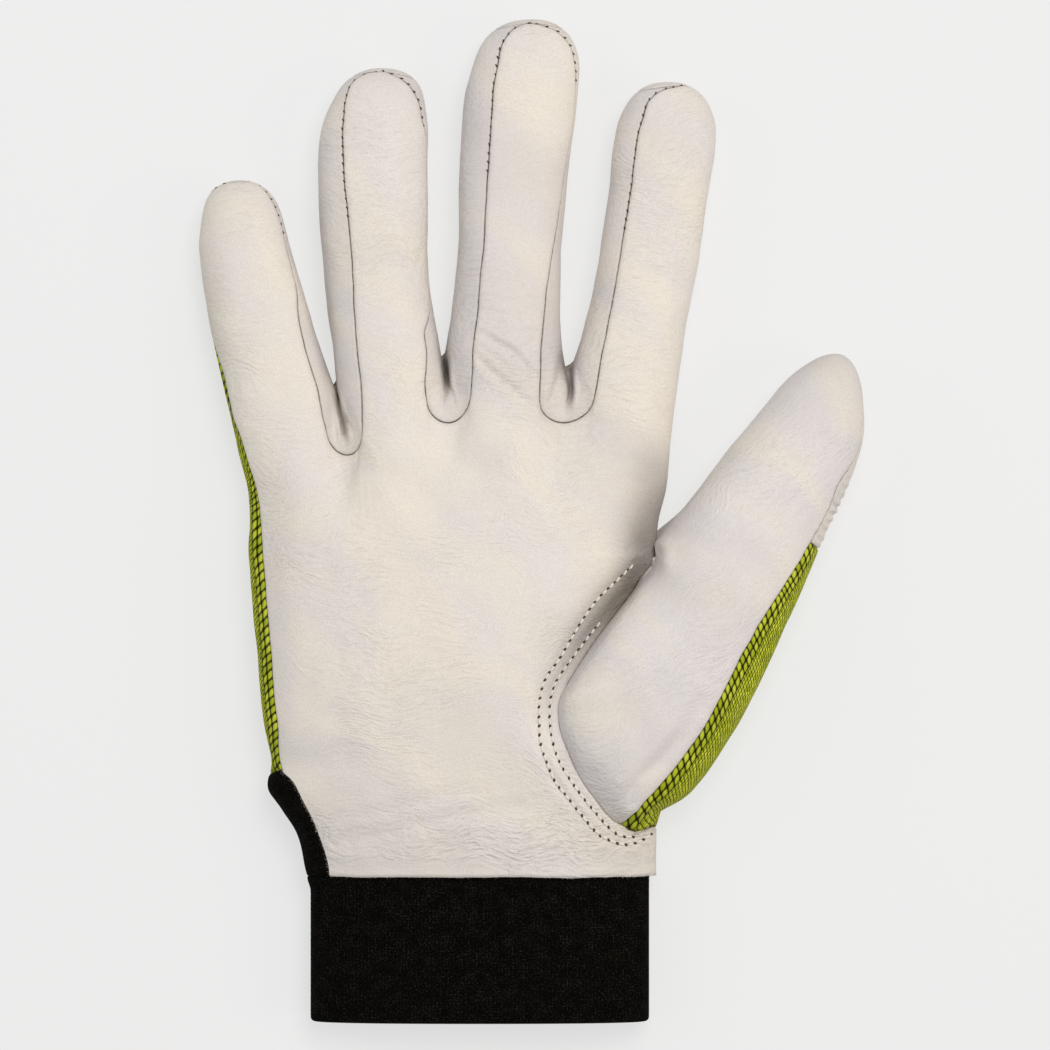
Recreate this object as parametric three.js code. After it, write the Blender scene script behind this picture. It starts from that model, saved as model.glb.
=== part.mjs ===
// A right-hand work glove: leather palm, fingers and thumb front, stretch fabric back, knit cuff.
// It lies on its back with the palm up. Fingers point along +Y, the thumb lies out toward +X.
// Every panel is an open sheet with a real wall, cut where the real seams run.
// Millimetres, +Z up, origin under the middle of the glove on the surface it lies on.
import * as THREE from 'three';

const { lerp, clamp, smoothstep, degToRad } = THREE.MathUtils;

// Walls and seams
const LEATHER = 1.4;
const FABRIC = 1.2;
const KNIT = 2.2;
const SEAM_GAP = 0.36;
const CROWDED_SEAM_GAP = 1.5;
const STRIP_SEAM_GAP = 0.6;

// Roundness of a section: above its middle it is a full arch, below it is pressed flat on the surface
const ARCH_POWER = 2.4;
const BASE_POWER = 3;
const BASE_PRESS = 1.15;

// Mesh fineness
const FINGER_COLUMNS = 5;
const WEB_COLUMNS = 4;
const BACK_COLUMNS = 3;
const CAP_COLUMNS = 6;
const STRIP_COLUMNS = 3;
const SHAFT_ROWS = 7;
const DOME_ROWS = 5;
const STRIP_DOME_ROWS = 2;
const CAP_SHAFT_ROWS = 1;
const THUMB_FRONT_COLUMNS = 8;
const THUMB_BACK_COLUMNS = 7;
const GUSSET_COLUMNS = 4;
const CUFF_COLUMNS = 28;

const leather = { color: 0xe2dace, roughness: 0.6 };
const stretchFabric = { color: 0x8c9328, roughness: 0.85 };
const knit = { color: 0x0c0b09, roughness: 0.95 };

// The hand of the glove from cuff to knuckles: outline at both sides, height of the side line, crown
const palmTable = [
  { y: -88.5, left: -57.7, right: 30.8, mid: 9.5, top: 21.0 },
  { y: -78.5, left: -60.0, right: 31.0, mid: 9.5, top: 22.5 },
  { y: -72.0, left: -63.6, right: 31.0, mid: 9.5, top: 23.5 },
  { y: -67.0, left: -66.2, right: 31.0, mid: 9.5, top: 24.2 },
  { y: -60.0, left: -65.4, right: 31.0, mid: 9.5, top: 25.0 },
  { y: -50.0, left: -67.3, right: 31.0, mid: 9.5, top: 25.5 },
  { y: -30.0, left: -69.4, right: 31.0, mid: 9.5, top: 25.8 },
  { y: -10.0, left: -71.0, right: 31.0, mid: 9.5, top: 25.5 },
  { y: 0.0, left: -70.7, right: 31.4, mid: 9.3, top: 25.0 },
  { y: 8.0, left: -71.2, right: 33.2, mid: 9.0, top: 24.0 },
  { y: 18.0, left: -74.2, right: 34.2, mid: 9.0, top: 22.5 },
  { y: 28.0, left: -76.3, right: 35.1, mid: 8.8, top: 21.0 },
  { y: 50.0, left: -80.9, right: 38.4, mid: 8.5, top: 19.0 },
];

// The seam between palm leather and back on the little-finger side, and where the leather's edge
// leaves it to bare the gusset
const ulnarSeamTable = [
  { y: -88.5, x: -50.6 },
  { y: -85.0, x: -51.1 },
  { y: -80.2, x: -52.5 },
  { y: -74.3, x: -54.7 },
  { y: -70.0, x: -56.8 },
  { y: -64.8, x: -59.8 },
  { y: -61.7, x: -62.4 },
  { y: -50.0, x: -63.8 },
  { y: -35.0, x: -65.3 },
  { y: -11.0, x: -67.3 },
  { y: 4.0, x: -68.3 },
  { y: 14.0, x: -70.9 },
  { y: 21.0, x: -73.1 },
  { y: 28.0, x: -74.8 },
];

// Rows across the hand. left and right: where the row meets the palm leather's two edges.
// holeX: the thumb hole's edge. holeAngle: the same edge where it crosses the side.
// back: where the row meets the back's thumb-side seam. seam: how far along the thumb the row
// meets the seam between the thumb's leather and fabric.
const handRows = [
  { left: -88.5, right: -88.5, back: -88.5 },
  { left: -85.0, right: -84.0, back: -84.0 },
  { left: -81.0, right: -81.2, back: -81.2 },
  { left: -77.5, right: -78.9, back: -78.6, holeAngle: 5 },
  { left: -74.5, right: -77.7, back: -76.3, holeX: 25.8 },
  { left: -72.0, right: -75.6, back: -74.0, holeX: 22.0 },
  { left: -69.0, right: -73.0, back: -71.0, holeX: 18.5, seam: -8.0 },
  { left: -65.3, right: -67.5, back: -67.0, holeX: 14.2, seam: -2.0 },
  { left: -61.7, right: -61.5, back: -62.0, holeX: 10.5, seam: 4.0 },
  { left: -56.0, right: -55.5, back: -56.0, holeX: 8.0, seam: 10.0 },
  { left: -50.0, right: -50.0, back: -50.0, holeX: 6.5, seam: 16.0 },
  { left: -44.5, right: -44.5, back: -44.5, holeX: 6.6, seam: 21.5 },
  { left: -38.0, right: -38.6, back: -38.5, holeX: 9.7, seam: 27.0 },
  { left: -31.0, right: -32.3, back: -32.0, holeX: 13.7, seam: 32.0 },
  { left: -24.0, right: -26.0, back: -26.0, holeX: 18.0, seam: 37.0 },
  { left: -17.0, right: -20.0, back: -20.0, holeX: 22.7, seam: 41.5 },
  { left: -10.5, right: -14.4, back: -14.4, holeX: 27.0, seam: 46.0 },
  { left: -4.0, right: -9.2, back: -9.2, holeAngle: 8, seam: 50.5 },
  { left: 2.0, right: -4.6, back: -4.6, seam: 55.0 },
  { left: 8.0, right: 4.5, back: 4.5 },
  { left: 14.0, right: 14.0, back: 14.0 },
];
const GUSSET_TIP_ROW = 9;
const THUMB_CORNER_ROW = 5;
const THUMB_CROTCH_ROW = 18;

// Where the leather wraps under the thumb side of the hand, as an angle on its section
const HAND_WRAP_ANGLE = -20;
const FINGER_WRAP_ANGLE = -52;

// The back turns up the little-finger side from this angle, over a few columns of its mesh
const SIDE_TURN_ANGLE = 228;
const SIDE_COLUMNS = 3;

// The back's own edge along the gusset, as an angle on the hand's section
const gussetBackTable = [
  { y: -88.5, angle: 225 },
  { y: -74.5, angle: 225 },
  { y: -70.0, angle: 216 },
  { y: -65.3, angle: 196 },
  { y: -61.7, angle: 165 },
];

// Distance below the knuckles over which the hand takes up the shape of the four fingers
const KNUCKLE_BLEND = 28;
const KNUCKLE_STEPS = 3;
const ROOT_SPREAD = 0.35;
const ROOT_SAMPLES = [-1, -0.5, 0, 0.5, 1];

// Fingers: outline, side line and crown along each; seams as angles on the section, where 0 is the
// thumb side, 90 the middle of the palm side and 180 the little-finger side
const fingers = [
  {
    name: 'little',
    tip: 84.9,
    dome: 12,
    start: { left: 26.0, right: 21.5 },
    rows: [
      { y: 14.0, left: -73.0, right: -47.6, mid: 8.0, top: 18.0 },
      { y: 23.0, left: -75.4, right: -48.3, mid: 8.0, top: 17.8 },
      { y: 33.0, left: -77.3, right: -49.8, mid: 8.0, top: 17.4 },
      { y: 43.0, left: -79.5, right: -53.2, mid: 8.0, top: 17.0 },
      { y: 53.0, left: -81.5, right: -56.2, mid: 8.0, top: 16.4 },
      { y: 68.0, left: -83.4, right: -60.6, mid: 7.8, top: 15.6 },
      { y: 84.9, left: -83.6, right: -63.8, mid: 7.4, top: 14.6 },
    ],
    seams: [
      { y: 14.0, left: 158, right: 41 },
      { y: 27.0, left: 158, right: 44 },
      { y: 35.0, left: 164, right: 44 },
      { y: 43.0, left: 178, right: 43 },
      { y: 52.0, left: 189, right: 39 },
      { y: 72.0, left: 202, right: 24 },
      { y: 84.9, left: 205, right: 14 },
    ],
  },
  {
    name: 'ring',
    tip: 113.0,
    dome: 13.5,
    start: { left: 23.5, right: 27.7 },
    rows: [
      { y: 14.0, left: -46.8, right: -21.8, mid: 8.5, top: 20.6 },
      { y: 23.0, left: -47.6, right: -21.6, mid: 8.5, top: 20.4 },
      { y: 33.0, left: -49.1, right: -21.9, mid: 8.5, top: 20.0 },
      { y: 43.0, left: -49.7, right: -23.2, mid: 8.5, top: 19.4 },
      { y: 53.0, left: -50.8, right: -25.2, mid: 8.5, top: 18.8 },
      { y: 63.0, left: -51.8, right: -26.6, mid: 8.5, top: 18.2 },
      { y: 83.0, left: -53.4, right: -26.6, mid: 8.2, top: 17.2 },
      { y: 98.0, left: -52.9, right: -26.3, mid: 8.0, top: 16.6 },
      { y: 113.0, left: -51.0, right: -25.6, mid: 7.6, top: 16.0 },
    ],
    seams: [
      { y: 14.0, left: 120, right: 33 },
      { y: 40.0, left: 119, right: 33 },
      { y: 62.0, left: 113, right: 20 },
      { y: 84.0, left: 117, right: 9 },
      { y: 95.0, left: 123, right: 8 },
      { y: 104.0, left: 138, right: 12 },
      { y: 113.0, left: 145, right: 14 },
    ],
  },
  {
    name: 'middle',
    tip: 125.2,
    dome: 14.5,
    start: { left: 27.7, right: 28.7 },
    rows: [
      { y: 14.0, left: -21.0, right: 8.6, mid: 8.6, top: 22.0 },
      { y: 27.0, left: -21.0, right: 8.6, mid: 8.6, top: 21.6 },
      { y: 35.0, left: -21.3, right: 8.4, mid: 8.6, top: 21.2 },
      { y: 43.0, left: -21.7, right: 7.4, mid: 8.6, top: 20.6 },
      { y: 53.0, left: -20.2, right: 6.8, mid: 8.6, top: 20.0 },
      { y: 68.0, left: -18.7, right: 6.7, mid: 8.5, top: 19.0 },
      { y: 88.0, left: -18.4, right: 8.6, mid: 8.2, top: 17.8 },
      { y: 106.0, left: -17.6, right: 11.0, mid: 8.0, top: 17.0 },
      { y: 125.2, left: -13.8, right: 12.6, mid: 7.8, top: 16.4 },
    ],
    seams: [
      { y: 14.0, left: 127, right: 62 },
      { y: 28.0, left: 127, right: 62 },
      { y: 34.0, left: 120, right: 61 },
      { y: 43.0, left: 117, right: 55 },
      { y: 53.0, left: 117, right: 47 },
      { y: 66.0, left: 118, right: 36 },
      { y: 79.0, left: 115, right: 25 },
      { y: 100.0, left: 114, right: 12 },
      { y: 111.0, left: 118, right: 10 },
      { y: 125.2, left: 138, right: 14 },
    ],
  },
  {
    name: 'index',
    tip: 109.7,
    dome: 13,
    start: { left: 26.5, right: 22.0 },
    rows: [
      { y: 14.0, left: 9.4, right: 34.0, mid: 8.6, top: 21.2 },
      { y: 27.0, left: 9.4, right: 35.2, mid: 8.6, top: 20.8 },
      { y: 37.0, left: 9.6, right: 36.5, mid: 8.6, top: 20.3 },
      { y: 47.0, left: 12.4, right: 38.0, mid: 8.6, top: 19.7 },
      { y: 58.0, left: 15.0, right: 40.1, mid: 8.5, top: 19.0 },
      { y: 78.0, left: 18.4, right: 43.3, mid: 8.2, top: 17.6 },
      { y: 90.0, left: 19.7, right: 45.3, mid: 8.0, top: 17.0 },
      { y: 98.0, left: 20.9, right: 45.8, mid: 8.0, top: 16.6 },
      { y: 109.7, left: 22.3, right: 45.5, mid: 7.6, top: 16.0 },
    ],
    seams: [
      { y: 14.0, left: 128, right: -30 },
      { y: 27.0, left: 128, right: -40 },
      { y: 33.0, left: 119, right: -46 },
      { y: 45.0, left: 121, right: -52 },
      { y: 66.0, left: 122, right: -52 },
      { y: 98.0, left: 121, right: -52 },
      { y: 109.7, left: 128, right: -52 },
    ],
  },
];

// Where the fabric back's seams run under a finger
const BACK_SEAM_LEFT = 212;
const BACK_SEAM_RIGHT = -52;

// Crotches between the fingers: lowest point of the seam on the palm side and on the back, and
// where the back's seams start up the fingers
const webs = [
  { name: 'little_ring', frontBottom: 17.2, backBottom: 33.8, backStart: 40.0 },
  { name: 'ring_middle', frontBottom: 24.8, backBottom: 41.0, backStart: 47.0 },
  { name: 'middle_index', frontBottom: 25.0, backBottom: 35.5, backStart: 41.5 },
];
const WEB_SINK = 1.4;

// The thumb runs from a point in the palm's heel, turned away from the fingers
const THUMB_ROOT_X = 16.8;
const THUMB_ROOT_Y = -56.0;
const THUMB_TURN = degToRad(33.6);
const THUMB_TIP = 114.8;
const THUMB_DOME = 18;
const thumbTable = [
  { along: -14.0, left: 4.0, right: 20.5, mid: 11.0, top: 22.5 },
  { along: -8.0, left: -5.0, right: 22.4, mid: 11.5, top: 26.0 },
  { along: 0.0, left: -13.6, right: 24.9, mid: 12.0, top: 29.5 },
  { along: 10.0, left: -16.4, right: 25.8, mid: 12.0, top: 31.4 },
  { along: 25.0, left: -16.8, right: 25.6, mid: 12.0, top: 32.2 },
  { along: 40.0, left: -16.6, right: 23.8, mid: 12.0, top: 31.4 },
  { along: 52.0, left: -16.4, right: 21.7, mid: 12.0, top: 29.8 },
  { along: 62.0, left: -15.5, right: 20.0, mid: 11.8, top: 28.2 },
  { along: 78.0, left: -14.3, right: 17.1, mid: 11.2, top: 25.8 },
  { along: 95.0, left: -12.5, right: 14.2, mid: 10.4, top: 23.2 },
  { along: 114.8, left: -11.8, right: 6.6, mid: 9.0, top: 19.4 },
];
const thumbSeamTable = [
  { along: -14.0, angle: 60 },
  { along: -8.0, angle: 59 },
  { along: 5.0, angle: 55 },
  { along: 20.0, angle: 53 },
  { along: 35.0, angle: 55 },
  { along: 53.0, angle: 50 },
  { along: 70.0, angle: 37 },
  { along: 80.0, angle: 33 },
  { along: 87.5, angle: 38 },
  { along: 96.0, angle: 22 },
  { along: 114.8, angle: 20 },
];
const THUMB_UNDER_ANGLE = 206;
const thumbShaftStations = [61, 66, 71, 79, 88, 96.8];
const THUMB_CAP_START = 2;

// The cuff: its upper end slips under the leather's hem, the rest is bare
const CUFF_INSET = LEATHER + 0.35;
const cuffRows = [
  { y: -83.5, inset: CUFF_INSET, drop: 0.0 },
  { y: -88.7, inset: CUFF_INSET, drop: 0.0 },
  { y: -92.5, inset: CUFF_INSET, drop: 1.0 },
  { y: -108.0, inset: CUFF_INSET, drop: 1.0 },
  { y: -123.8, inset: CUFF_INSET, drop: 1.0 },
  { y: -125.3, inset: CUFF_INSET + 0.7, drop: 1.0 },
];

// Reads a column of a table at any place between its rows, as a smooth curve through them
function readTable(table, column, at, key = 'y') {
  let k = 0;
  while (k < table.length - 2 && at > table[k + 1][key]) k += 1;
  const slopeAt = (i) => {
    const a = table[Math.max(i - 1, 0)];
    const b = table[Math.min(i + 1, table.length - 1)];
    return (b[column] - a[column]) / (b[key] - a[key]);
  };
  const from = table[k];
  const to = table[k + 1];
  const span = to[key] - from[key];
  const t = clamp((at - from[key]) / span, 0, 1);
  const t2 = t * t;
  const t3 = t2 * t;
  return (2 * t3 - 3 * t2 + 1) * from[column] + (t3 - 2 * t2 + t) * span * slopeAt(k)
    + (3 * t2 - 2 * t3) * to[column] + (t3 - t2) * span * slopeAt(k + 1);
}

// A point of a section, across its middle and up, with the wall's inside at a given inset
function sectionPoint(section, angle, inset, pinch = 1) {
  const cos = Math.cos(degToRad(angle));
  const sin = Math.sin(degToRad(angle));
  const power = 2 / (sin >= 0 ? ARCH_POWER : BASE_POWER);
  const half = (section.right - section.left) / 2 - inset;
  const across = Math.sign(cos) * half * Math.abs(cos) ** power;
  let rise = (section.top - section.mid - inset) * Math.abs(sin) ** power;
  if (sin < 0) {
    const fall = (section.mid * BASE_PRESS - inset) * Math.abs(sin) ** power;
    rise = -Math.min(fall, section.mid - inset);
  }
  return {
    across: (section.right + section.left) / 2 + across * pinch,
    up: section.mid + rise * pinch,
  };
}

// The angle at which a section's palm side lies at a given place across it
function angleAcross(section, x) {
  const half = (section.right - section.left) / 2;
  const share = clamp((x - (section.right + section.left) / 2) / half, -0.999, 0.999);
  const angle = Math.acos(Math.sign(share) * Math.abs(share) ** (ARCH_POWER / 2));
  return THREE.MathUtils.radToDeg(angle);
}

function readSection(table, at, key = 'y') {
  const section = {};
  for (const column of ['left', 'right', 'mid', 'top']) {
    section[column] = readTable(table, column, at, key);
  }
  return section;
}

// How far a dome has closed at a place, and how far its inner skin lies back from the tip
function domeAt(tip, dome, at, inset) {
  const share = clamp(1 - (tip - at) / dome, 0, 1);
  return { pinch: Math.sqrt(1 - share * share), back: inset * share };
}

// A place on a sheet: its outer point and the wall's inner point beneath it
function both(pointAt, wall) {
  return { outer: pointAt(0), inner: pointAt(wall) };
}

function handPoint(y, angle, inset) {
  const { across, up } = sectionPoint(readSection(palmTable, y), angle, inset);
  return new THREE.Vector3(across, y, up);
}

function fingerPoint(finger, y, angle, inset) {
  const dome = domeAt(finger.tip, finger.dome, y, inset);
  const section = readSection(finger.rows, y);
  const { across, up } = sectionPoint(section, angle, inset, dome.pinch);
  return new THREE.Vector3(across, y - dome.back, up);
}

function thumbPoint(along, angle, inset) {
  const dome = domeAt(THUMB_TIP, THUMB_DOME, along, inset);
  const section = readSection(thumbTable, along, 'along');
  const { across, up } = sectionPoint(section, angle, inset, dome.pinch);
  const ahead = along - dome.back;
  const sin = Math.sin(THUMB_TURN);
  const cos = Math.cos(THUMB_TURN);
  const x = THUMB_ROOT_X + ahead * sin + across * cos;
  const y = THUMB_ROOT_Y + ahead * cos - across * sin;
  return new THREE.Vector3(x, y, up);
}

const seamLeft = (finger, y) => readTable(finger.seams, 'left', y);
const seamRight = (finger, y) => readTable(finger.seams, 'right', y);

// A panel sewn from one or more grids of places. It becomes one closed body: outer skin, inner skin
// and a rim along every edge, drawn back from the seam by half the seam's gap.
class Panel {
  constructor() {
    this.places = [];
    this.faces = [];
    this.known = new Map();
  }

  place({ outer, inner }) {
    const key = [outer.x, outer.y, outer.z].map((v) => v.toFixed(3)).join(' ');
    if (!this.known.has(key)) {
      this.known.set(key, this.places.length);
      this.places.push({ outer: outer.clone(), inner: inner.clone() });
    }
    return this.known.get(key);
  }

  grid(rows) {
    const ids = rows.map((row) => row.map((p) => this.place(p)));
    for (let i = 0; i + 1 < ids.length; i += 1) {
      for (let j = 0; j + 1 < ids[i].length; j += 1) {
        const corners = [ids[i][j], ids[i][j + 1], ids[i + 1][j + 1], ids[i + 1][j]];
        const face = corners.filter((id, n) => id !== corners[(n + 3) % 4]);
        if (new Set(face).size > 2) this.faces.push(face);
      }
    }
    return this;
  }

  edges() {
    const found = new Map();
    for (const face of this.faces) {
      face.forEach((a, n) => {
        const b = face[(n + 1) % face.length];
        found.set(`${a} ${b}`, { a, b, face });
      });
    }
    return [...found.values()].filter(({ a, b }) => !found.has(`${b} ${a}`));
  }

  drawBack(skin, edges, gap) {
    const pull = new Map();
    for (const { a, b, face } of edges) {
      const centre = new THREE.Vector3();
      for (const id of face) centre.addScaledVector(this.places[id][skin], 1 / face.length);
      const start = this.places[a][skin];
      const run = this.places[b][skin].clone().sub(start);
      if (run.length() < 1e-6) continue;
      run.normalize();
      const inward = centre.sub(start);
      inward.addScaledVector(run, -inward.dot(run)).normalize();
      for (const id of [a, b]) {
        if (!pull.has(id)) pull.set(id, new THREE.Vector3());
        pull.get(id).add(inward);
      }
    }
    for (const [id, direction] of pull) {
      const corner = direction.length() < 1.6 ? Math.SQRT2 : 1;
      direction.normalize();
      this.places[id][skin].addScaledVector(direction, (gap / 2) * corner);
    }
  }

  mesh(name, look, gap = SEAM_GAP) {
    const edges = this.edges();
    this.drawBack('outer', edges, gap);
    this.drawBack('inner', edges, gap);
    const count = this.places.length;
    const triangles = [];
    for (const face of this.faces) {
      for (let n = 1; n + 1 < face.length; n += 1) {
        triangles.push([face[0], face[n], face[n + 1]]);
        triangles.push([count + face[0], count + face[n + 1], count + face[n]]);
      }
    }
    for (const { a, b } of edges) {
      triangles.push([b, a, count + a], [b, count + a, count + b]);
    }
    const points = [...this.places.map((p) => p.outer), ...this.places.map((p) => p.inner)];
    let volume = 0;
    for (const [a, b, c] of triangles) {
      volume += points[a].dot(new THREE.Vector3().crossVectors(points[b], points[c]));
    }
    const facing = volume > 0 ? triangles : triangles.map(([a, b, c]) => [a, c, b]);
    const geometry = new THREE.BufferGeometry().setFromPoints(points);
    geometry.setIndex(facing.flat());
    geometry.computeVertexNormals();
    const mesh = new THREE.Mesh(geometry, new THREE.MeshStandardMaterial({ ...look, metalness: 0 }));
    mesh.name = name;
    return mesh;
  }
}

// Places up a finger: even steps along the shaft from a start, then even turns over the dome
function fingerHeights(finger, start) {
  const heights = [];
  const shaftEnd = finger.tip - finger.dome;
  for (let i = 0; i < SHAFT_ROWS; i += 1) heights.push(lerp(start, shaftEnd, i / SHAFT_ROWS));
  for (let i = 0; i <= DOME_ROWS; i += 1) {
    const turn = (Math.PI / 2) * Math.min(i / DOME_ROWS, 0.965);
    heights.push(shaftEnd + finger.dome * Math.sin(turn));
  }
  return heights;
}

// A finger's palm side, from its little-finger-side seam to its thumb-side seam
function fingerFront(finger, wall) {
  const rows = [];
  for (let i = 0; i <= SHAFT_ROWS + DOME_ROWS; i += 1) {
    const row = [];
    for (let j = 0; j <= FINGER_COLUMNS; j += 1) {
      const t = j / FINGER_COLUMNS;
      const y = fingerHeights(finger, lerp(finger.start.left, finger.start.right, t))[i];
      const angle = lerp(seamLeft(finger, y), seamRight(finger, y), t);
      row.push(both((inset) => fingerPoint(finger, y, angle, inset), wall));
    }
    rows.push(row);
  }
  return rows;
}

// The strips between fingers narrow to a point over the dome
function backSeam(finger, side, y) {
  const last = fingerHeights(finger, 0)[SHAFT_ROWS + STRIP_DOME_ROWS];
  const narrowing = smoothstep(y, finger.tip - finger.dome * 1.6, last + 1);
  if (side === 'left') {
    if (finger === fingers[0]) return seamLeft(finger, y);
    return lerp(BACK_SEAM_LEFT, seamLeft(finger, y), narrowing);
  }
  if (finger === fingers[3]) return seamRight(finger, y);
  return lerp(BACK_SEAM_RIGHT, seamRight(finger, y), narrowing);
}

// Where a strip starts up its two fingers, at a share of the way from palm seam to back seam
function stripStart(index, share) {
  const web = webs[index];
  const from = fingers[index];
  const to = fingers[index + 1];
  const fromY = lerp(from.start.right, web.backStart, share);
  const toY = lerp(to.start.left, web.backStart, share);
  return { from, to, fromY, toY };
}

function stripAngle(finger, side, y, share) {
  if (side === 'right') return lerp(seamRight(finger, y), backSeam(finger, 'right', y), share);
  return lerp(seamLeft(finger, y), backSeam(finger, 'left', y), share);
}

// The crotch: a U from the side of one finger round to the side of the next
function webPoint(index, share, turn, inset) {
  const web = webs[index];
  const { from, to, fromY, toY } = stripStart(index, share);
  const a = fingerPoint(from, fromY, stripAngle(from, 'right', fromY, share), inset);
  const b = fingerPoint(to, toY, stripAngle(to, 'left', toY, share), inset);
  const bottom = lerp(web.frontBottom, web.backBottom, share) - inset * (1 - 0.4 * share);
  const reach = ((a.y + b.y) / 2 - bottom) / 0.75;
  const sink = WEB_SINK * (1 - share) + inset * 0.6 * (1 - share);
  const curve = new THREE.CubicBezierCurve3(
    a,
    new THREE.Vector3(a.x, a.y - reach, a.z - sink),
    new THREE.Vector3(b.x, b.y - reach, b.z - sink),
    b,
  );
  return curve.getPoint(turn);
}

function webRow(index, share, columns, wall) {
  const row = [];
  for (let m = 1; m < columns; m += 1) {
    row.push(both((inset) => webPoint(index, share, m / columns, inset), wall));
  }
  return row;
}

// How strongly the hand's surface follows the finger roots at a distance below them
const knuckleWeight = (distance) => 1 - smoothstep(distance, 0, KNUCKLE_BLEND);

// The angle on the hand's section that goes with a place on a finger root
function handAngle(point, fingerAngle) {
  if (fingerAngle < 0) return fingerAngle * (HAND_WRAP_ANGLE / FINGER_WRAP_ANGLE);
  return angleAcross(readSection(palmTable, point.y), point.x);
}

// The hand's edges: the leather's edge on the little-finger side and the thumb side
function leatherLeftAngle(y) {
  return angleAcross(readSection(palmTable, y), readTable(ulnarSeamTable, 'x', y));
}

function leatherRightAngle(row) {
  if (row.holeAngle !== undefined) return row.holeAngle;
  if (row.holeX !== undefined) return angleAcross(readSection(palmTable, row.right), row.holeX);
  return HAND_WRAP_ANGLE;
}

// The palm's own rows, drawn toward the finger roots above them. What a root adds to the hand's
// section fades below it and spreads sideways as it fades.
function palmRows(topRow, topAngles, wall) {
  const last = topRow.length - 1;
  const roots = topRow.map((root, j) => {
    const flat = both((inset) => handPoint(root.outer.y, topAngles[j], inset), wall);
    const outer = root.outer.clone().sub(flat.outer);
    const inner = root.inner.clone().sub(flat.inner);
    return { x: root.outer.x, y: root.outer.y, outer, inner };
  });
  const crown = roots.filter((_, j) => topAngles[j] > 0);
  const rootAt = (x) => {
    let k = 0;
    while (k < crown.length - 2 && x > crown[k + 1].x) k += 1;
    const t = clamp((x - crown[k].x) / (crown[k + 1].x - crown[k].x), 0, 1);
    return {
      y: lerp(crown[k].y, crown[k + 1].y, t),
      outer: crown[k].outer.clone().lerp(crown[k + 1].outer, t),
      inner: crown[k].inner.clone().lerp(crown[k + 1].inner, t),
    };
  };
  const drawn = (y, angle, j) => {
    const point = both((inset) => handPoint(y, angle, inset), wall);
    const onCrown = topAngles[j] > 0;
    const x = point.outer.x;
    const spread = onCrown ? ROOT_SPREAD * (rootAt(x).y - y) : 0;
    for (const side of ROOT_SAMPLES) {
      const root = onCrown ? rootAt(x + side * spread) : roots[j];
      const weight = knuckleWeight(root.y - y) / ROOT_SAMPLES.length;
      point.outer.addScaledVector(root.outer, weight);
      point.inner.addScaledVector(root.inner, weight);
    }
    return point;
  };
  const topShare = (j) => (topAngles[j] - topAngles[0]) / (topAngles[last] - topAngles[0]);
  const rows = handRows.map((row, i) => {
    const from = leatherLeftAngle(row.left);
    const to = leatherRightAngle(row);
    const climb = smoothstep(i / handRows.length, 0.1, 1);
    return topRow.map((_, j) => {
      const share = lerp(j / last, topShare(j), climb);
      return drawn(lerp(row.left, row.right, j / last), lerp(from, to, share), j);
    });
  });
  const highest = handRows[handRows.length - 1];
  for (let step = 1; step < KNUCKLE_STEPS; step += 1) {
    const rise = step / KNUCKLE_STEPS;
    const from = leatherLeftAngle(lerp(highest.left, topRow[0].outer.y, rise));
    rows.push(topRow.map((root, j) => {
      const y = lerp(lerp(highest.left, highest.right, j / last), root.outer.y, rise);
      const straight = lerp(from, HAND_WRAP_ANGLE, topShare(j));
      return drawn(y, lerp(straight, topAngles[j], rise), j);
    }));
  }
  rows.push(topRow);
  return rows;
}

// The palm leather with the four finger fronts, one piece
function buildPalm() {
  const fronts = fingers.map((finger) => fingerFront(finger, LEATHER));
  const topRow = [];
  const topAngles = [];
  fronts.forEach((front, k) => {
    const finger = fingers[k];
    front[0].forEach((root, j) => {
      const t = j / FINGER_COLUMNS;
      const angle = lerp(seamLeft(finger, root.outer.y), seamRight(finger, root.outer.y), t);
      topRow.push(root);
      topAngles.push(handAngle(root.outer, angle));
    });
    if (k < webs.length) {
      for (const root of webRow(k, 0, WEB_COLUMNS, LEATHER)) {
        topRow.push(root);
        topAngles.push(handAngle(root.outer, 90));
      }
    }
  });
  const rows = palmRows(topRow, topAngles, LEATHER);
  const panel = new Panel().grid(rows);
  for (const front of fronts) panel.grid(front);
  return { mesh: panel.mesh('palm_leather', leather), rows, fronts };
}

// A leather strip down one finger's side, round the crotch and up the next finger's side
function buildFourchette(index) {
  const arm = (side) => {
    const rows = [];
    for (let i = 0; i <= SHAFT_ROWS + STRIP_DOME_ROWS; i += 1) {
      const row = [];
      for (let j = 0; j <= STRIP_COLUMNS; j += 1) {
        const share = j / STRIP_COLUMNS;
        const { from, to, fromY, toY } = stripStart(index, share);
        const finger = side === 'right' ? from : to;
        const y = fingerHeights(finger, side === 'right' ? fromY : toY)[i];
        const angle = stripAngle(finger, side, y, share);
        row.push(both((inset) => fingerPoint(finger, y, angle, inset), LEATHER));
      }
      rows.push(row);
    }
    return rows;
  };
  const crotch = [];
  for (let m = 1; m < WEB_COLUMNS; m += 1) {
    const row = [];
    for (let j = 0; j <= STRIP_COLUMNS; j += 1) {
      const point = (inset) => webPoint(index, j / STRIP_COLUMNS, m / WEB_COLUMNS, inset);
      row.push(both(point, LEATHER));
    }
    crotch.push(row);
  }
  const rows = [...arm('right').reverse(), ...crotch, ...arm('left')];
  return new Panel().grid(rows).mesh(`fourchette_${webs[index].name}`, leather, STRIP_SEAM_GAP);
}

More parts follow.
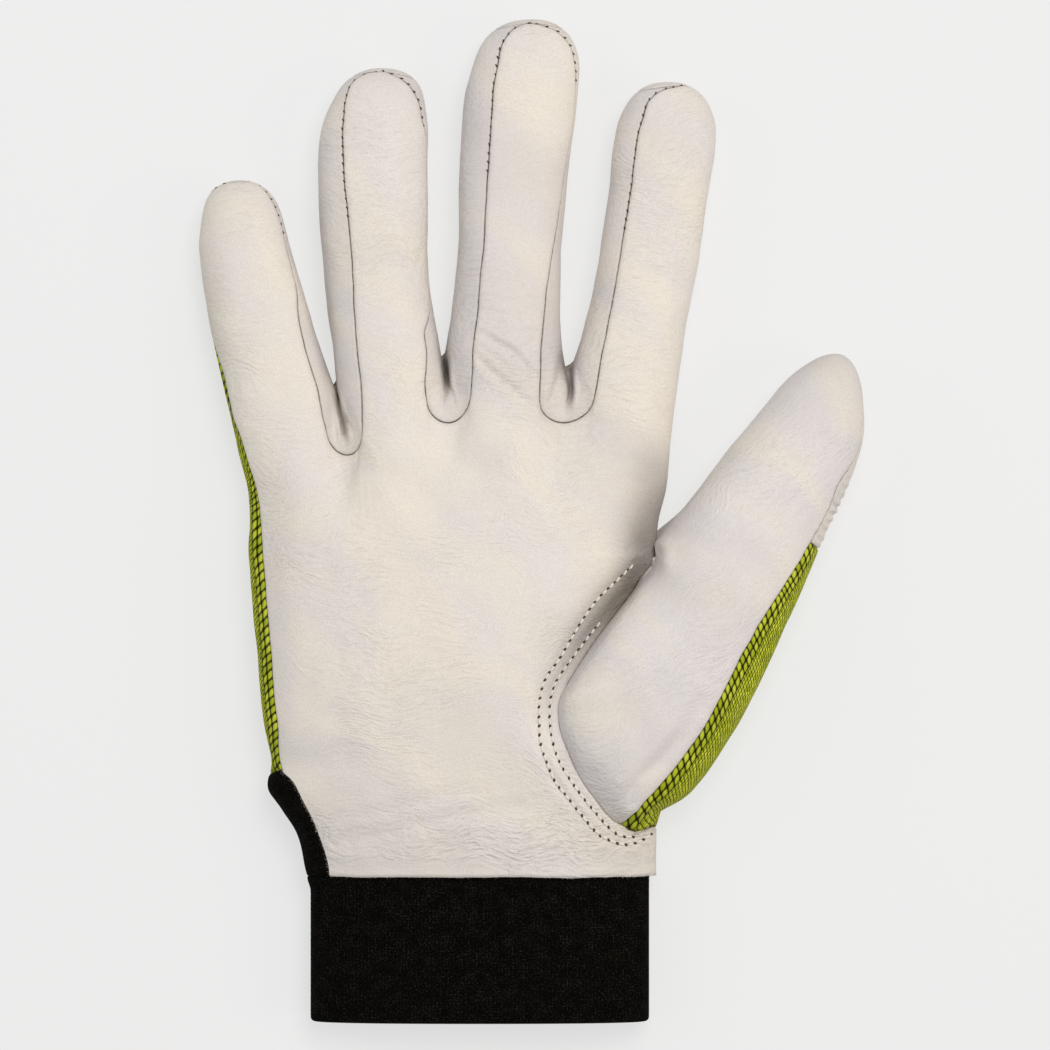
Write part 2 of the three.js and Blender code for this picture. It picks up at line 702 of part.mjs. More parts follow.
// The back of a finger, from its little-finger-side seam under it to its thumb-side seam
function fingerBack(finger, start, wall, columns, firstRow, lastRow) {
  const rows = [];
  for (let i = firstRow; i <= lastRow; i += 1) {
    const row = [];
    for (let j = 0; j <= columns; j += 1) {
      const t = j / columns;
      const y = fingerHeights(finger, lerp(start.left, start.right, t))[i];
      const angle = lerp(backSeam(finger, 'left', y), 360 + backSeam(finger, 'right', y), t);
      row.push(both((inset) => fingerPoint(finger, y, angle, inset), wall));
    }
    rows.push(row);
  }
  return rows;
}

// The angle at which the hand's section lies under a place across it
function underAngle(y, x) {
  const section = readSection(palmTable, y);
  const half = (section.right - section.left) / 2;
  const share = clamp((x - (section.right + section.left) / 2) / half, -0.97, 0.97);
  const bend = Math.acos(Math.sign(share) * Math.abs(share) ** (BASE_POWER / 2));
  return 360 - THREE.MathUtils.radToDeg(bend);
}

function backStarts(k) {
  const left = k > 0 ? webs[k - 1].backStart : webs[0].backStart;
  const right = k < webs.length ? webs[k].backStart : webs[2].backStart;
  return { left, right };
}

// The fabric back: one piece from the cuff to the finger caps, flat where the glove rests
function buildBack(palm) {
  const capRow = SHAFT_ROWS - CAP_SHAFT_ROWS;
  const topRow = [];
  const strips = fingers.map((finger, k) => (
    fingerBack(finger, backStarts(k), FABRIC, BACK_COLUMNS, 0, capRow)
  ));
  strips.forEach((strip, k) => {
    topRow.push(...strip[0]);
    if (k < webs.length) topRow.push(...webRow(k, 1, WEB_COLUMNS, FABRIC));
  });
  const last = topRow.length - 1;
  const frontLast = palm.rows[0].length - 1;
  const levels = handRows.map((row, i) => ({
    left: row.left,
    right: row.back,
    leftPlace: palm.rows[i][0],
    rightPlace: i < 3 || i >= THUMB_CROTCH_ROW ? palm.rows[i][frontLast] : null,
  }));
  for (let step = 1; step <= KNUCKLE_STEPS; step += 1) {
    const row = palm.rows[handRows.length - 1 + step];
    levels.push({
      left: row[0].outer.y,
      right: row[frontLast].outer.y,
      leftPlace: row[0],
      rightPlace: row[frontLast],
    });
  }
  for (let i = 1; i <= 2; i += 1) {
    const leftPlace = palm.fronts[0][i][0];
    const rightPlace = palm.fronts[3][i][FINGER_COLUMNS];
    levels.push({ left: leftPlace.outer.y, right: rightPlace.outer.y, leftPlace, rightPlace });
  }
  const topAngles = topRow.map((root) => underAngle(root.outer.y, root.outer.x));
  const rows = levels.map((level, i) => {
    const leftAngle = i < GUSSET_TIP_ROW
      ? readTable(gussetBackTable, 'angle', level.left)
      : leatherLeftAngle(level.left);
    const row = topRow.map((root, j) => {
      const y = lerp(level.left, level.right, j / last);
      const leftX = handPoint(y, SIDE_TURN_ANGLE, 0).x;
      const rightX = handPoint(y, HAND_WRAP_ANGLE, 0).x;
      const flatShare = (j - SIDE_COLUMNS) / (last - SIDE_COLUMNS);
      const low = flatShare >= 0
        ? underAngle(y, lerp(leftX, rightX, flatShare))
        : lerp(leftAngle, SIDE_TURN_ANGLE, j / SIDE_COLUMNS);
      const angle = lerp(low, topAngles[j], smoothstep(y, -20, root.outer.y));
      return both((inset) => handPoint(y, angle, inset), FABRIC);
    });
    row[0] = i < GUSSET_TIP_ROW
      ? both((inset) => handPoint(level.left, leftAngle, inset), FABRIC)
      : level.leftPlace;
    row[last] = level.rightPlace
      ?? both((inset) => handPoint(level.right, HAND_WRAP_ANGLE, inset), FABRIC);
    return row;
  });
  rows.push(topRow);
  const panel = new Panel().grid(rows);
  for (const strip of strips) panel.grid(strip);
  return { mesh: panel.mesh('back_fabric', stretchFabric), rows };
}

// A point between two places on a sheet
const between = (a, b, t) => ({
  outer: a.outer.clone().lerp(b.outer, t),
  inner: a.inner.clone().lerp(b.inner, t),
});

// The leather cap on a fingertip's back. Its first row lies along the fabric's last one.
function buildFingerCap(finger, k) {
  const capRow = SHAFT_ROWS - CAP_SHAFT_ROWS;
  const start = backStarts(k);
  const [edge] = fingerBack(finger, start, LEATHER, BACK_COLUMNS, capRow, capRow);
  const first = [];
  for (let j = 0; j <= CAP_COLUMNS; j += 1) {
    const place = (j * BACK_COLUMNS) / CAP_COLUMNS;
    const n = Math.min(Math.floor(place), BACK_COLUMNS - 1);
    first.push(between(edge[n], edge[n + 1], place - n));
  }
  const tip = SHAFT_ROWS + DOME_ROWS;
  const rows = [first, ...fingerBack(finger, start, LEATHER, CAP_COLUMNS, capRow + 1, tip)];
  return new Panel().grid(rows).mesh(`fingertip_back_${finger.name}`, leather);
}

// A place in the thumb's own directions: along it, and across it toward its outer side
function thumbPlace(point) {
  const x = point.x - THUMB_ROOT_X;
  const y = point.y - THUMB_ROOT_Y;
  const sin = Math.sin(THUMB_TURN);
  const cos = Math.cos(THUMB_TURN);
  return { along: x * sin + y * cos, across: x * cos - y * sin };
}

// A row over or under the thumb, between two places on it, that ends exactly on given places
function thumbRow(from, to, columns, wall) {
  const row = [];
  for (let j = 0; j <= columns; j += 1) {
    const t = j / columns;
    const along = lerp(from.along, to.along, t);
    const angle = lerp(from.angle, to.angle, t);
    const point = both((inset) => thumbPoint(along, angle, inset), wall);
    for (const [end, near] of [[from, 1 - t], [to, t]]) {
      if (!end.place) continue;
      const model = both((inset) => thumbPoint(end.along, end.angle, inset), wall);
      const weight = smoothstep(near, 0.3, 1);
      for (const skin of ['outer', 'inner']) {
        point[skin].addScaledVector(end.place[skin].clone().sub(model[skin]), weight);
      }
    }
    row.push(point);
  }
  return row;
}

// Where the thumb's leather front starts: on the edge of the palm's hole, at the crotch on its side
function thumbLeftEnd(place, row) {
  const { along, across } = thumbPlace(place.outer);
  if (row.holeX !== undefined) {
    const section = readSection(thumbTable, along, 'along');
    return { along, angle: angleAcross(section, across), place };
  }
  return { along, angle: row.holeAngle === undefined ? THUMB_UNDER_ANGLE : 180, place };
}

// Where the thumb's fabric ends under the hand: on the back's seam
function thumbBackEnd(place) {
  const { along, across } = thumbPlace(place.outer);
  const section = readSection(thumbTable, along, 'along');
  const half = (section.right - section.left) / 2;
  const share = clamp((across - (section.right + section.left) / 2) / half, -0.9, 0.9);
  const bend = Math.acos(Math.sign(share) * Math.abs(share) ** (BASE_POWER / 2));
  return { along, angle: -THREE.MathUtils.radToDeg(bend), place };
}

function thumbSeamEnd(along) {
  return { along, angle: readTable(thumbSeamTable, 'angle', along, 'along') };
}

function thumbStations() {
  const stations = [...thumbShaftStations];
  for (let i = 1; i <= DOME_ROWS; i += 1) {
    const turn = (Math.PI / 2) * Math.min(i / DOME_ROWS, 0.965);
    stations.push(THUMB_TIP - THUMB_DOME + THUMB_DOME * Math.sin(turn));
  }
  return stations;
}

// The thumb's leather front, from the edge of the palm's hole over its crown to the fabric
function buildThumbFront(palmEdge) {
  const corner = palmEdge[THUMB_CORNER_ROW];
  const rows = [Array(THUMB_FRONT_COLUMNS + 1).fill(corner)];
  for (let i = THUMB_CORNER_ROW + 1; i <= THUMB_CROTCH_ROW; i += 1) {
    const from = thumbLeftEnd(palmEdge[i], handRows[i]);
    const to = thumbSeamEnd(handRows[i].seam);
    rows.push(thumbRow(from, to, THUMB_FRONT_COLUMNS, LEATHER));
  }
  for (const along of thumbStations()) {
    const from = { along, angle: THUMB_UNDER_ANGLE };
    rows.push(thumbRow(from, thumbSeamEnd(along), THUMB_FRONT_COLUMNS, LEATHER));
  }
  return new Panel().grid(rows).mesh('thumb_front_leather', leather);
}

// The thumb's fabric back, from the leather round its outer side and under it to the back's seam.
// It starts along the lower edge of the palm's hole.
function buildThumbBack(palmEdge, backEdge) {
  const [corner, low, side, under] = [5, 4, 3, 2].map((i) => palmEdge[i]);
  const rows = [[
    corner, between(corner, low, 0.5), low, between(low, side, 0.5),
    side, between(side, under, 1 / 3), between(side, under, 2 / 3), under,
  ]];
  for (let i = THUMB_CORNER_ROW + 1; i <= THUMB_CROTCH_ROW; i += 1) {
    const from = thumbSeamEnd(handRows[i].seam);
    rows.push(thumbRow(from, thumbBackEnd(backEdge[i]), THUMB_BACK_COLUMNS, FABRIC));
  }
  for (const along of thumbStations().slice(0, THUMB_CAP_START + 1)) {
    const to = { along, angle: THUMB_UNDER_ANGLE - 360 };
    rows.push(thumbRow(thumbSeamEnd(along), to, THUMB_BACK_COLUMNS, FABRIC));
  }
  return new Panel().grid(rows).mesh('thumb_back_fabric', stretchFabric, CROWDED_SEAM_GAP);
}

function buildThumbCap() {
  const rows = thumbStations().slice(THUMB_CAP_START).map((along) => {
    const to = { along, angle: THUMB_UNDER_ANGLE - 360 };
    return thumbRow(thumbSeamEnd(along), to, THUMB_BACK_COLUMNS, LEATHER);
  });
  return new Panel().grid(rows).mesh('thumb_tip_back', leather);
}

// The stretch knit that fills the notch between palm and back on the little-finger side
function buildGusset(palmRowsBuilt, backRowsBuilt) {
  const rows = [];
  for (let i = 0; i < GUSSET_TIP_ROW; i += 1) {
    const y = handRows[i].left;
    const from = leatherLeftAngle(y);
    const to = readTable(gussetBackTable, 'angle', y);
    const row = [palmRowsBuilt[i][0]];
    for (let j = 1; j < GUSSET_COLUMNS; j += 1) {
      const angle = lerp(from, to, j / GUSSET_COLUMNS);
      row.push(both((inset) => handPoint(y, angle, inset), FABRIC));
    }
    row.push(backRowsBuilt[i][0]);
    rows.push(row);
  }
  rows.push(Array(GUSSET_COLUMNS + 1).fill(palmRowsBuilt[GUSSET_TIP_ROW][0]));
  return new Panel().grid(rows).mesh('wrist_gusset', knit);
}

// The cuff: a knit band, open at both ends, that rests on the surface where it is bare
function buildCuff() {
  const rest = readSection(palmTable, cuffRows[0].y).top - CUFF_INSET;
  const rows = cuffRows.map(({ y, inset, drop }) => {
    const row = [];
    for (let j = 0; j < CUFF_COLUMNS; j += 1) {
      const angle = (360 * j) / CUFF_COLUMNS;
      const point = both((wall) => handPoint(y, angle, inset + wall), KNIT);
      for (const skin of ['outer', 'inner']) {
        const up = point[skin].z;
        const rested = ((up - CUFF_INSET) * rest) / (rest - CUFF_INSET);
        point[skin].z = lerp(up, rested, drop);
      }
      row.push(point);
    }
    return [...row, row[0]];
  });
  return new Panel().grid(rows).mesh('cuff', knit);
}

const group = new THREE.Group();
const palm = buildPalm();
const back = buildBack(palm);
const palmEdge = palm.rows.map((row) => row[row.length - 1]);
const backEdge = back.rows.map((row) => row[row.length - 1]);
group.add(palm.mesh);
webs.forEach((_, index) => group.add(buildFourchette(index)));
group.add(back.mesh);
fingers.forEach((finger, k) => group.add(buildFingerCap(finger, k)));
group.add(buildThumbFront(palmEdge), buildThumbBack(palmEdge, backEdge), buildThumbCap());
group.add(buildGusset(palm.rows, back.rows), buildCuff());

export default group;
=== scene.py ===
import bisect
import math
import random

import bmesh
import bpy
from mathutils import Matrix, Vector, kdtree, noise
from mathutils.bvhtree import BVHTree


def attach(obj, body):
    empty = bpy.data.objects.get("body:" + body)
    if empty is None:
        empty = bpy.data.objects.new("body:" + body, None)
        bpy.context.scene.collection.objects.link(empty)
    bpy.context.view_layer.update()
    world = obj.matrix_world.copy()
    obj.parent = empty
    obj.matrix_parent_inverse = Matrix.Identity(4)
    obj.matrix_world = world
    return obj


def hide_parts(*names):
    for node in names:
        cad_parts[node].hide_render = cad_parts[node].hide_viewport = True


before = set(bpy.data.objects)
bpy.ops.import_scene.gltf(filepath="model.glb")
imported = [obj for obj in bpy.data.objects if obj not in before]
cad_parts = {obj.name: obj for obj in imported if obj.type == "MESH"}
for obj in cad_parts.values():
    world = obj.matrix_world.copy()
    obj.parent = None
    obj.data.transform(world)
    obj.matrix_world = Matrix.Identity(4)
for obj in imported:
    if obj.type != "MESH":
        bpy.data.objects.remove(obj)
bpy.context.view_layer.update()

# The pale surface the glove lies on, a large soft light over it and the camera that looks straight
# down at the palm. The surface gives off most of its brightness itself, so shadows stay faint.
MM = 0.001
FLOOR_HALF = 3.0
FLOOR_DROP = 0.2
PAPER_GREY = 0.2
PAPER_GLOW = 0.645
SKY_GLOW = 0.36
CAMERA_PLACE = (-2 * MM, -1 * MM, 1.468)
LENS_LENGTH = 200
SENSOR_WIDTH = 36

scene = bpy.context.scene
scene.view_settings.view_transform = "Standard"
scene.view_settings.look = "None"

floor_shape = bmesh.new()
bmesh.ops.create_grid(floor_shape, x_segments=1, y_segments=1, size=FLOOR_HALF)
bmesh.ops.translate(floor_shape, verts=floor_shape.verts, vec=(0, 0, -FLOOR_DROP * MM))
floor_mesh = bpy.data.meshes.new("surface")
floor_shape.to_mesh(floor_mesh)
floor = bpy.data.objects.new("surface", floor_mesh)
scene.collection.objects.link(floor)

paper = bpy.data.materials.new("pale_paper")
paper.use_nodes = True
paper_shader = paper.node_tree.nodes["Principled BSDF"]
paper_shader.inputs["Base Color"].default_value = (PAPER_GREY, PAPER_GREY, PAPER_GREY, 1)
paper_shader.inputs["Roughness"].default_value = 0.9
paper_shader.inputs["Specular IOR Level"].default_value = 0.0
paper_shader.inputs["Emission Color"].default_value = (1, 1, 1, 1)
paper_shader.inputs["Emission Strength"].default_value = PAPER_GLOW
floor_mesh.materials.append(paper)

sky = bpy.data.worlds.new("studio")
sky.use_nodes = True
sky.node_tree.nodes["Background"].inputs["Color"].default_value = (1, 1, 1, 1)
sky.node_tree.nodes["Background"].inputs["Strength"].default_value = SKY_GLOW
scene.world = sky


def soft_light(name, place, size, watts, tint):
    """A square light at a place, turned toward the middle of the glove."""
    lamp = bpy.data.lights.new(name, "AREA")
    lamp.shape = "SQUARE"
    lamp.size = size
    lamp.energy = watts
    lamp.color = tint
    holder = bpy.data.objects.new(name, lamp)
    holder.location = place
    holder.rotation_euler = (-Vector(place)).to_track_quat("-Z", "Y").to_euler()
    scene.collection.objects.link(holder)


soft_light("overhead", (0.25, 0.45, 1.3), 0.7, 11.8, (1.0, 0.985, 0.965))
soft_light("right_side", (1.1, -0.2, 0.8), 0.6, 3.4, (1.0, 0.93, 0.84))
soft_light("left_side", (-1.1, 0.2, 0.9), 0.8, 2.6, (0.9, 0.95, 1.0))

lens = bpy.data.cameras.new("camera")
lens.type = "PERSP"
lens.lens = LENS_LENGTH
lens.sensor_width = SENSOR_WIDTH
camera = bpy.data.objects.new("camera", lens)
camera.location = CAMERA_PLACE
scene.collection.objects.link(camera)
scene.camera = camera

# The palm leather: one piece of smooth off-white hide that covers the palm and the fronts of the
# four fingers, with a hole for the thumb. It is turned in and sewn at every edge but the hem.
LEATHER_WALL = 1.2
# How square the glove's sections are over and under their middle, and a fingertip from above
ARCH_POWER = 2.4
BASE_POWER = 3.0
DOME_POWER = 2.3
BASE_PRESS = 1.15
HAND_WRAP_ANGLE = -20
FINGER_WRAP_ANGLE = -52
# How far below the finger roots the palm takes their shape on, and how wide each root spreads
KNUCKLE_BLEND = 28.0
ROOT_SPREAD = 0.35
ROOT_SAMPLES = [-1.0, -0.75, -0.5, -0.25, 0.0, 0.25, 0.5, 0.75, 1.0]
ROOT_FIT = 9.0
# Where the rows of a panel lie beside a seam, in mm from it
SEAM_OFFSETS = (0.0, 0.1, 0.25, 0.45, 0.75, 1.2, 1.9)


def table(columns, *rows):
    """Numbers in named columns, a row for each place along a piece. The first column is the place."""
    return {name: list(values) for name, values in zip(columns.split(), zip(*rows))}


def read(rows, column, at):
    """A column's value at a place, on a smooth curve through its rows."""
    keys = next(iter(rows.values()))
    values = rows[column]
    last = len(keys) - 1
    k = min(max(bisect.bisect_left(keys, at) - 1, 0), last - 1)
    span = keys[k + 1] - keys[k]
    t = min(max((at - keys[k]) / span, 0.0), 1.0)

    def slope(i):
        a, b = max(i - 1, 0), min(i + 1, last)
        return (values[b] - values[a]) / (keys[b] - keys[a])

    t2, t3 = t * t, t * t * t
    return ((2 * t3 - 3 * t2 + 1) * values[k] + (t3 - 2 * t2 + t) * span * slope(k)
            + (3 * t2 - 2 * t3) * values[k + 1] + (t3 - t2) * span * slope(k + 1))


def ease(value, low, high):
    """Rises softly from 0 to 1 as a value goes from low to high."""
    t = min(max((value - low) / (high - low), 0.0), 1.0)
    return t * t * (3 - 2 * t)


def lerp(a, b, t):
    return a + (b - a) * t


HAND = table(
    "y left right mid top",
    (-88.5, -56.5, 30.8, 9.5, 21.0),
    (-78.5, -59.1, 31.0, 9.5, 22.5),
    (-72.0, -63.0, 31.0, 9.5, 23.5),
    (-67.0, -66.2, 31.0, 9.5, 24.2),
    (-60.0, -65.4, 31.0, 9.5, 25.0),
    (-50.0, -67.3, 31.0, 9.5, 25.5),
    (-30.0, -69.4, 31.0, 9.5, 25.8),
    (-10.0, -71.0, 31.0, 9.5, 25.5),
    (0.0, -70.7, 31.4, 9.3, 25.0),
    (8.0, -71.2, 33.2, 9.0, 24.0),
    (18.0, -74.2, 34.2, 9.0, 22.5),
    (28.0, -76.3, 35.1, 8.8, 21.0),
    (50.0, -80.9, 38.4, 8.5, 19.0),
)
ULNAR_SEAM = table(
    "y x",
    (-88.5, -50.6),
    (-85.0, -51.1),
    (-80.2, -52.5),
    (-74.3, -54.7),
    (-70.0, -56.8),
    (-64.8, -59.8),
    (-61.7, -62.9),
    (-50.0, -63.8),
    (-35.0, -65.3),
    (-11.0, -67.3),
    (4.0, -68.3),
    (14.0, -70.9),
    (21.0, -73.1),
    (28.0, -74.8),
)
# Rows across the hand: where each meets the leather's two edges and the back's thumb-side seam,
# the thumb hole's edge as a place across, and how far along the thumb its side seam is met
HAND_ROWS = table(
    "row left right back hole seam",
    (0, -88.5, -88.5, -88.5, None, None),
    (1, -85.0, -84.0, -84.0, None, None),
    (2, -81.0, -81.2, -81.2, None, None),
    (3, -77.5, -78.9, -78.6, "5 deg", None),
    (4, -74.5, -77.7, -76.3, 25.8, None),
    (5, -72.0, -75.6, -74.0, 22.0, None),
    (6, -69.0, -73.0, -71.0, 18.5, -8.0),
    (7, -65.3, -67.5, -67.0, 14.2, -2.0),
    (8, -61.7, -61.5, -62.0, 10.5, 4.0),
    (9, -56.0, -55.5, -56.0, 8.0, 10.0),
    (10, -50.0, -50.0, -50.0, 6.5, 16.0),
    (11, -44.5, -44.5, -44.5, 6.6, 21.5),
    (12, -38.0, -38.6, -38.5, 9.7, 27.0),
    (13, -31.0, -32.3, -32.0, 13.7, 32.0),
    (14, -24.0, -26.0, -26.0, 18.0, 37.0),
    (15, -17.0, -20.0, -20.0, 22.7, 41.5),
    (16, -10.5, -14.4, -14.4, 27.0, 46.0),
    (17, -4.0, -9.2, -9.2, "8 deg", 50.5),
    (18, 2.0, -4.6, -4.6, None, 55.0),
    (19, 8.0, 4.5, 4.5, None, None),
    (20, 14.0, 14.0, 14.0, None, None),
)
LAST_ROW = 20
GUSSET_TIP_ROW = 8
THUMB_CORNER_ROW = 5
THUMB_CROTCH_ROW = 18

FINGERS = [
    {
        "name": "little", "tip": 85.2, "dome": 12.0, "seam_back": 0.3, "start": (26.0, 22.2),
        "rows": table(
            "y left right mid top",
            (14.0, -73.0, -47.6, 8.0, 18.0),
            (23.0, -75.4, -48.3, 8.0, 17.8),
            (33.0, -77.3, -49.8, 8.0, 17.4),
            (43.0, -79.5, -53.2, 8.0, 17.0),
            (53.0, -81.5, -56.2, 8.0, 16.4),
            (68.0, -83.4, -60.5, 7.8, 15.6),
            (76.0, -83.0, -62.6, 7.6, 15.0),
            (85.2, -83.8, -63.2, 7.4, 14.6),
        ),
        "seams": table(
            "y left right",
            (14.0, 154, 40),
            (22.0, 153, 42),
            (27.0, 156, 46),
            (35.0, 159, 47.5),
            (43.0, 169, 46),
            (52.0, 190, 41),
            (60.0, 198, 26),
            (73.2, 202, 20),
        ),
        "arch": table(
            "turn left right",
            (0, 202, 20),
            (30, 198, 24),
            (50, 185, 28),
            (66, 166, 24),
            (78, 150, 26),
            (90, 90, 90),
        ),
    },
    {
        "name": "ring", "tip": 113.3, "dome": 13.5, "seam_back": 0.9, "start": (23.2, 30.5),
        "rows": table(
            "y left right mid top",
            (14.0, -46.8, -21.8, 8.5, 20.6),
            (23.0, -47.6, -21.6, 8.5, 20.4),
            (33.0, -49.1, -21.9, 8.5, 20.0),
            (43.0, -50.0, -23.2, 8.5, 19.4),
            (53.0, -51.6, -24.9, 8.5, 18.8),
            (63.0, -52.4, -26.1, 8.5, 18.2),
            (83.0, -53.8, -26.4, 8.2, 17.2),
            (97.0, -53.0, -26.4, 8.0, 16.6),
            (105.0, -50.6, -26.5, 7.8, 16.3),
            (113.3, -49.8, -24.8, 7.6, 16.0),
        ),
        "seams": table(
            "y left right",
            (14.0, 126, 52),
            (22.0, 124, 52),
            (28.0, 121, 53),
            (34.0, 119, 53),
            (38.0, 119, 49),
            (42.0, 119, 44),
            (47.0, 117, 41),
            (51.0, 115, 24),
            (56.0, 113, 12),
            (62.0, 112, 10),
            (72.0, 112, 10),
            (84.0, 116, 9),
            (94.0, 120, 11),
            (99.8, 124, 24),
        ),
        "arch": table(
            "turn left right",
            (0, 124, 24),
            (10, 127, 26),
            (20, 131, 28),
            (34, 135, 37),
            (43, 138, 43),
            (52, 139, 52),
            (61, 136, 60),
            (72, 124, 75),
            (90, 90, 90),
        ),
    },
    {
        "name": "middle", "tip": 125.6, "dome": 14.5, "seam_back": 1.3, "start": (31.0, 30.3),
        "rows": table(
            "y left right mid top",
            (14.0, -21.0, 8.6, 8.6, 22.0),
            (27.0, -21.0, 8.6, 8.6, 21.6),
            (35.0, -21.3, 8.4, 8.6, 21.2),
            (43.0, -21.7, 7.4, 8.6, 20.6),
            (53.0, -20.2, 6.8, 8.6, 20.0),
            (68.0, -18.7, 7.1, 8.5, 19.0),
            (88.0, -18.5, 9.0, 8.2, 17.8),
            (106.0, -17.2, 11.1, 8.0, 17.0),
            (115.0, -14.9, 11.9, 7.9, 16.7),
            (125.6, -14.0, 12.8, 7.8, 16.4),
        ),
        "seams": table(
            "y left right",
            (14.0, 127, 62),
            (28.0, 126, 62),
            (34.0, 122, 61),
            (43.0, 118, 55),
            (53.0, 118, 47),
            (66.0, 117, 36),
            (79.0, 115, 25),
            (100.0, 114, 12),
            (111.1, 118, 20),
        ),
        "arch": table(
            "turn left right",
            (0, 118, 20),
            (15, 120, 25),
            (31, 121, 28),
            (44, 119, 34),
            (60, 114, 46),
            (70, 109, 62),
            (90, 90, 90),
        ),
    },
    {
        "name": "index", "tip": 109.9, "dome": 13.0, "seam_back": 0.3, "start": (30.3, 22.0),
        "rows": table(
            "y left right mid top",
            (14.0, 9.4, 34.0, 8.6, 21.2),
            (27.0, 9.4, 35.2, 8.6, 20.8),
            (37.0, 9.6, 36.5, 8.6, 20.3),
            (47.0, 12.4, 38.0, 8.6, 19.7),
            (58.0, 15.0, 40.1, 8.5, 19.0),
            (78.0, 18.4, 43.3, 8.2, 17.6),
            (90.0, 19.7, 45.3, 8.0, 17.0),
            (98.0, 20.9, 45.8, 8.0, 16.6),
            (104.0, 22.0, 45.3, 7.8, 16.3),
            (109.9, 22.2, 45.2, 7.6, 16.0),
        ),
        "seams": table(
            "y left right",
            (14.0, 128, -30),
            (25.0, 128, -39),
            (30.0, 121, -43),
            (37.0, 116, -50),
            (45.0, 119, -52),
            (66.0, 122, -52),
            (96.9, 120, -52),
        ),
        "arch": table(
            "turn left right",
            (0, 120, -52),
            (14, 118, -52),
            (36, 117, -52),
            (44, 113, -52),
            (53, 106, -51),
            (60, 95, -50),
            (68, 74, -48),
            (75, 35, -44),
            (82, -5, -40),
            (90, -30, -30),
        ),
    },
]
WEBS = [
    {"name": "little_ring", "front_bottom": 16.4, "back_bottom": 33.8, "back_start": 40.0},
    {"name": "ring_middle", "front_bottom": 24.6, "back_bottom": 41.0, "back_start": 47.0},
    {"name": "middle_index", "front_bottom": 24.5, "back_bottom": 38.5, "back_start": 44.0},
]
WEB_SINK = 1.4
WEB_STEPS = 24
WEB_RISE_POWER = 2.2
SHAFT_STEPS = 112
DOME_STEPS = 34
ARCH_END = 83
STRIP_END = 0.95


def section_at(rows, at):
    return [read(rows, column, at) for column in ("left", "right", "mid", "top")]


def on_section(section, angle, pinch=1.0):
    """A point of a section: 0 degrees is its thumb side, 90 the middle of its palm side."""
    left, right, mid, top = section
    cos = math.cos(math.radians(angle))
    sin = math.sin(math.radians(angle))
    power = 2 / (ARCH_POWER if sin >= 0 else BASE_POWER)
    across = math.copysign((right - left) / 2 * abs(cos) ** power, cos)
    if sin >= 0:
        rise = (top - mid) * abs(sin) ** power
    else:
        rise = -min(mid * BASE_PRESS * abs(sin) ** power, mid)
    return (right + left) / 2 + across * pinch, mid + rise * pinch


def angle_across(section, x):
    """The angle at which a section's palm side is x across."""
    left, right = section[:2]
    share = min(max((x - (right + left) / 2) * 2 / (right - left), -0.999), 0.999)
    return math.degrees(math.acos(math.copysign(abs(share) ** (ARCH_POWER / 2), share)))


def angle_under(section, x, most):
    """The same on the underside, as a turn below the thumb side, short of its very edges."""
    left, right = section[:2]
    share = min(max((x - (right + left) / 2) * 2 / (right - left), -most), most)
    return -math.degrees(math.acos(math.copysign(abs(share) ** (BASE_POWER / 2), share)))


def hand_place(y, angle):
    across, up = on_section(section_at(HAND, y), angle)
    return Vector((across, y, up))


def finger_place(finger, y, angle):
    share = min(max(1 - (finger["tip"] - y) / finger["dome"], 0.0), 1.0)
    pinch = (1 - share ** DOME_POWER) ** (1 / DOME_POWER)
    across, up = on_section(section_at(finger["rows"], y), angle, pinch)
    return Vector((across, y, up))


def arch_height(finger, turn):
    """A height over a fingertip, by how far round the arch of its seam it is, in degrees."""
    start = finger["tip"] - finger["dome"]
    return start + (finger["dome"] - finger["seam_back"]) * math.sin(math.radians(turn))


def dome_heights(finger, steps):
    """Heights over a fingertip, up to the seam that crosses it short of the very tip."""
    return [arch_height(finger, ARCH_END * (i + 1) / steps) for i in range(steps)]


def finger_rows(finger, starts, shares, shaft_places, tops, angle_at):
    """Rows of places up a finger: shares of its shaft from a start, then given heights.

    The starts are one height for each share across, and angle_at gives the angle at a height.
    """
    columns = []
    for t, start in zip(shares, starts):
        heights = [lerp(start, finger["tip"] - finger["dome"], place) for place in shaft_places]
        columns.append([finger_place(finger, y, angle_at(y, t)) for y in (*heights, *tops)])
    return [list(row) for row in zip(*columns)]


def even(count):
    return [i / count for i in range(count + 1)]


def seam_spaced(length, pitch, first=True, last=True):
    """Shares along a length in mm, a pitch apart and much closer beside a seam at either end."""
    near = [offset / length for offset in SEAM_OFFSETS]
    start = near if first else [0.0]
    end = [1 - n for n in reversed(near)] if last else [1.0]
    steps = max(1, round((end[0] - start[-1]) * length / pitch))
    return [*start, *(lerp(start[-1], end[0], i / steps) for i in range(1, steps)), *end]


FINGER_FRONT_WIDTH = 31
FINGER_SHARES = seam_spaced(FINGER_FRONT_WIDTH, 1.45)


def seam_angle(finger, side, y):
    """The angle of a finger front's seam, which closes over the fingertip in an arch."""
    start = finger["tip"] - finger["dome"]
    if y <= start:
        return read(finger["seams"], side, y)
    t = min((y - start) / (finger["dome"] - finger["seam_back"]), 1.0)
    return read(finger["arch"], side, math.degrees(math.asin(t)))


def front_angle(finger, y, t):
    return lerp(seam_angle(finger, "left", y), seam_angle(finger, "right", y), t)


def front_root(finger, t):
    """Where a column of a finger's front starts, and its angle there."""
    y = lerp(*finger["start"], t)
    angle = front_angle(finger, y, t)
    return finger_place(finger, y, angle), angle


def finger_front(finger):
    starts = [lerp(*finger["start"], t) for t in FINGER_SHARES]
    return finger_rows(finger, starts, FINGER_SHARES, even(SHAFT_STEPS),
                       dome_heights(finger, DOME_STEPS),
                       lambda y, t: front_angle(finger, y, t))


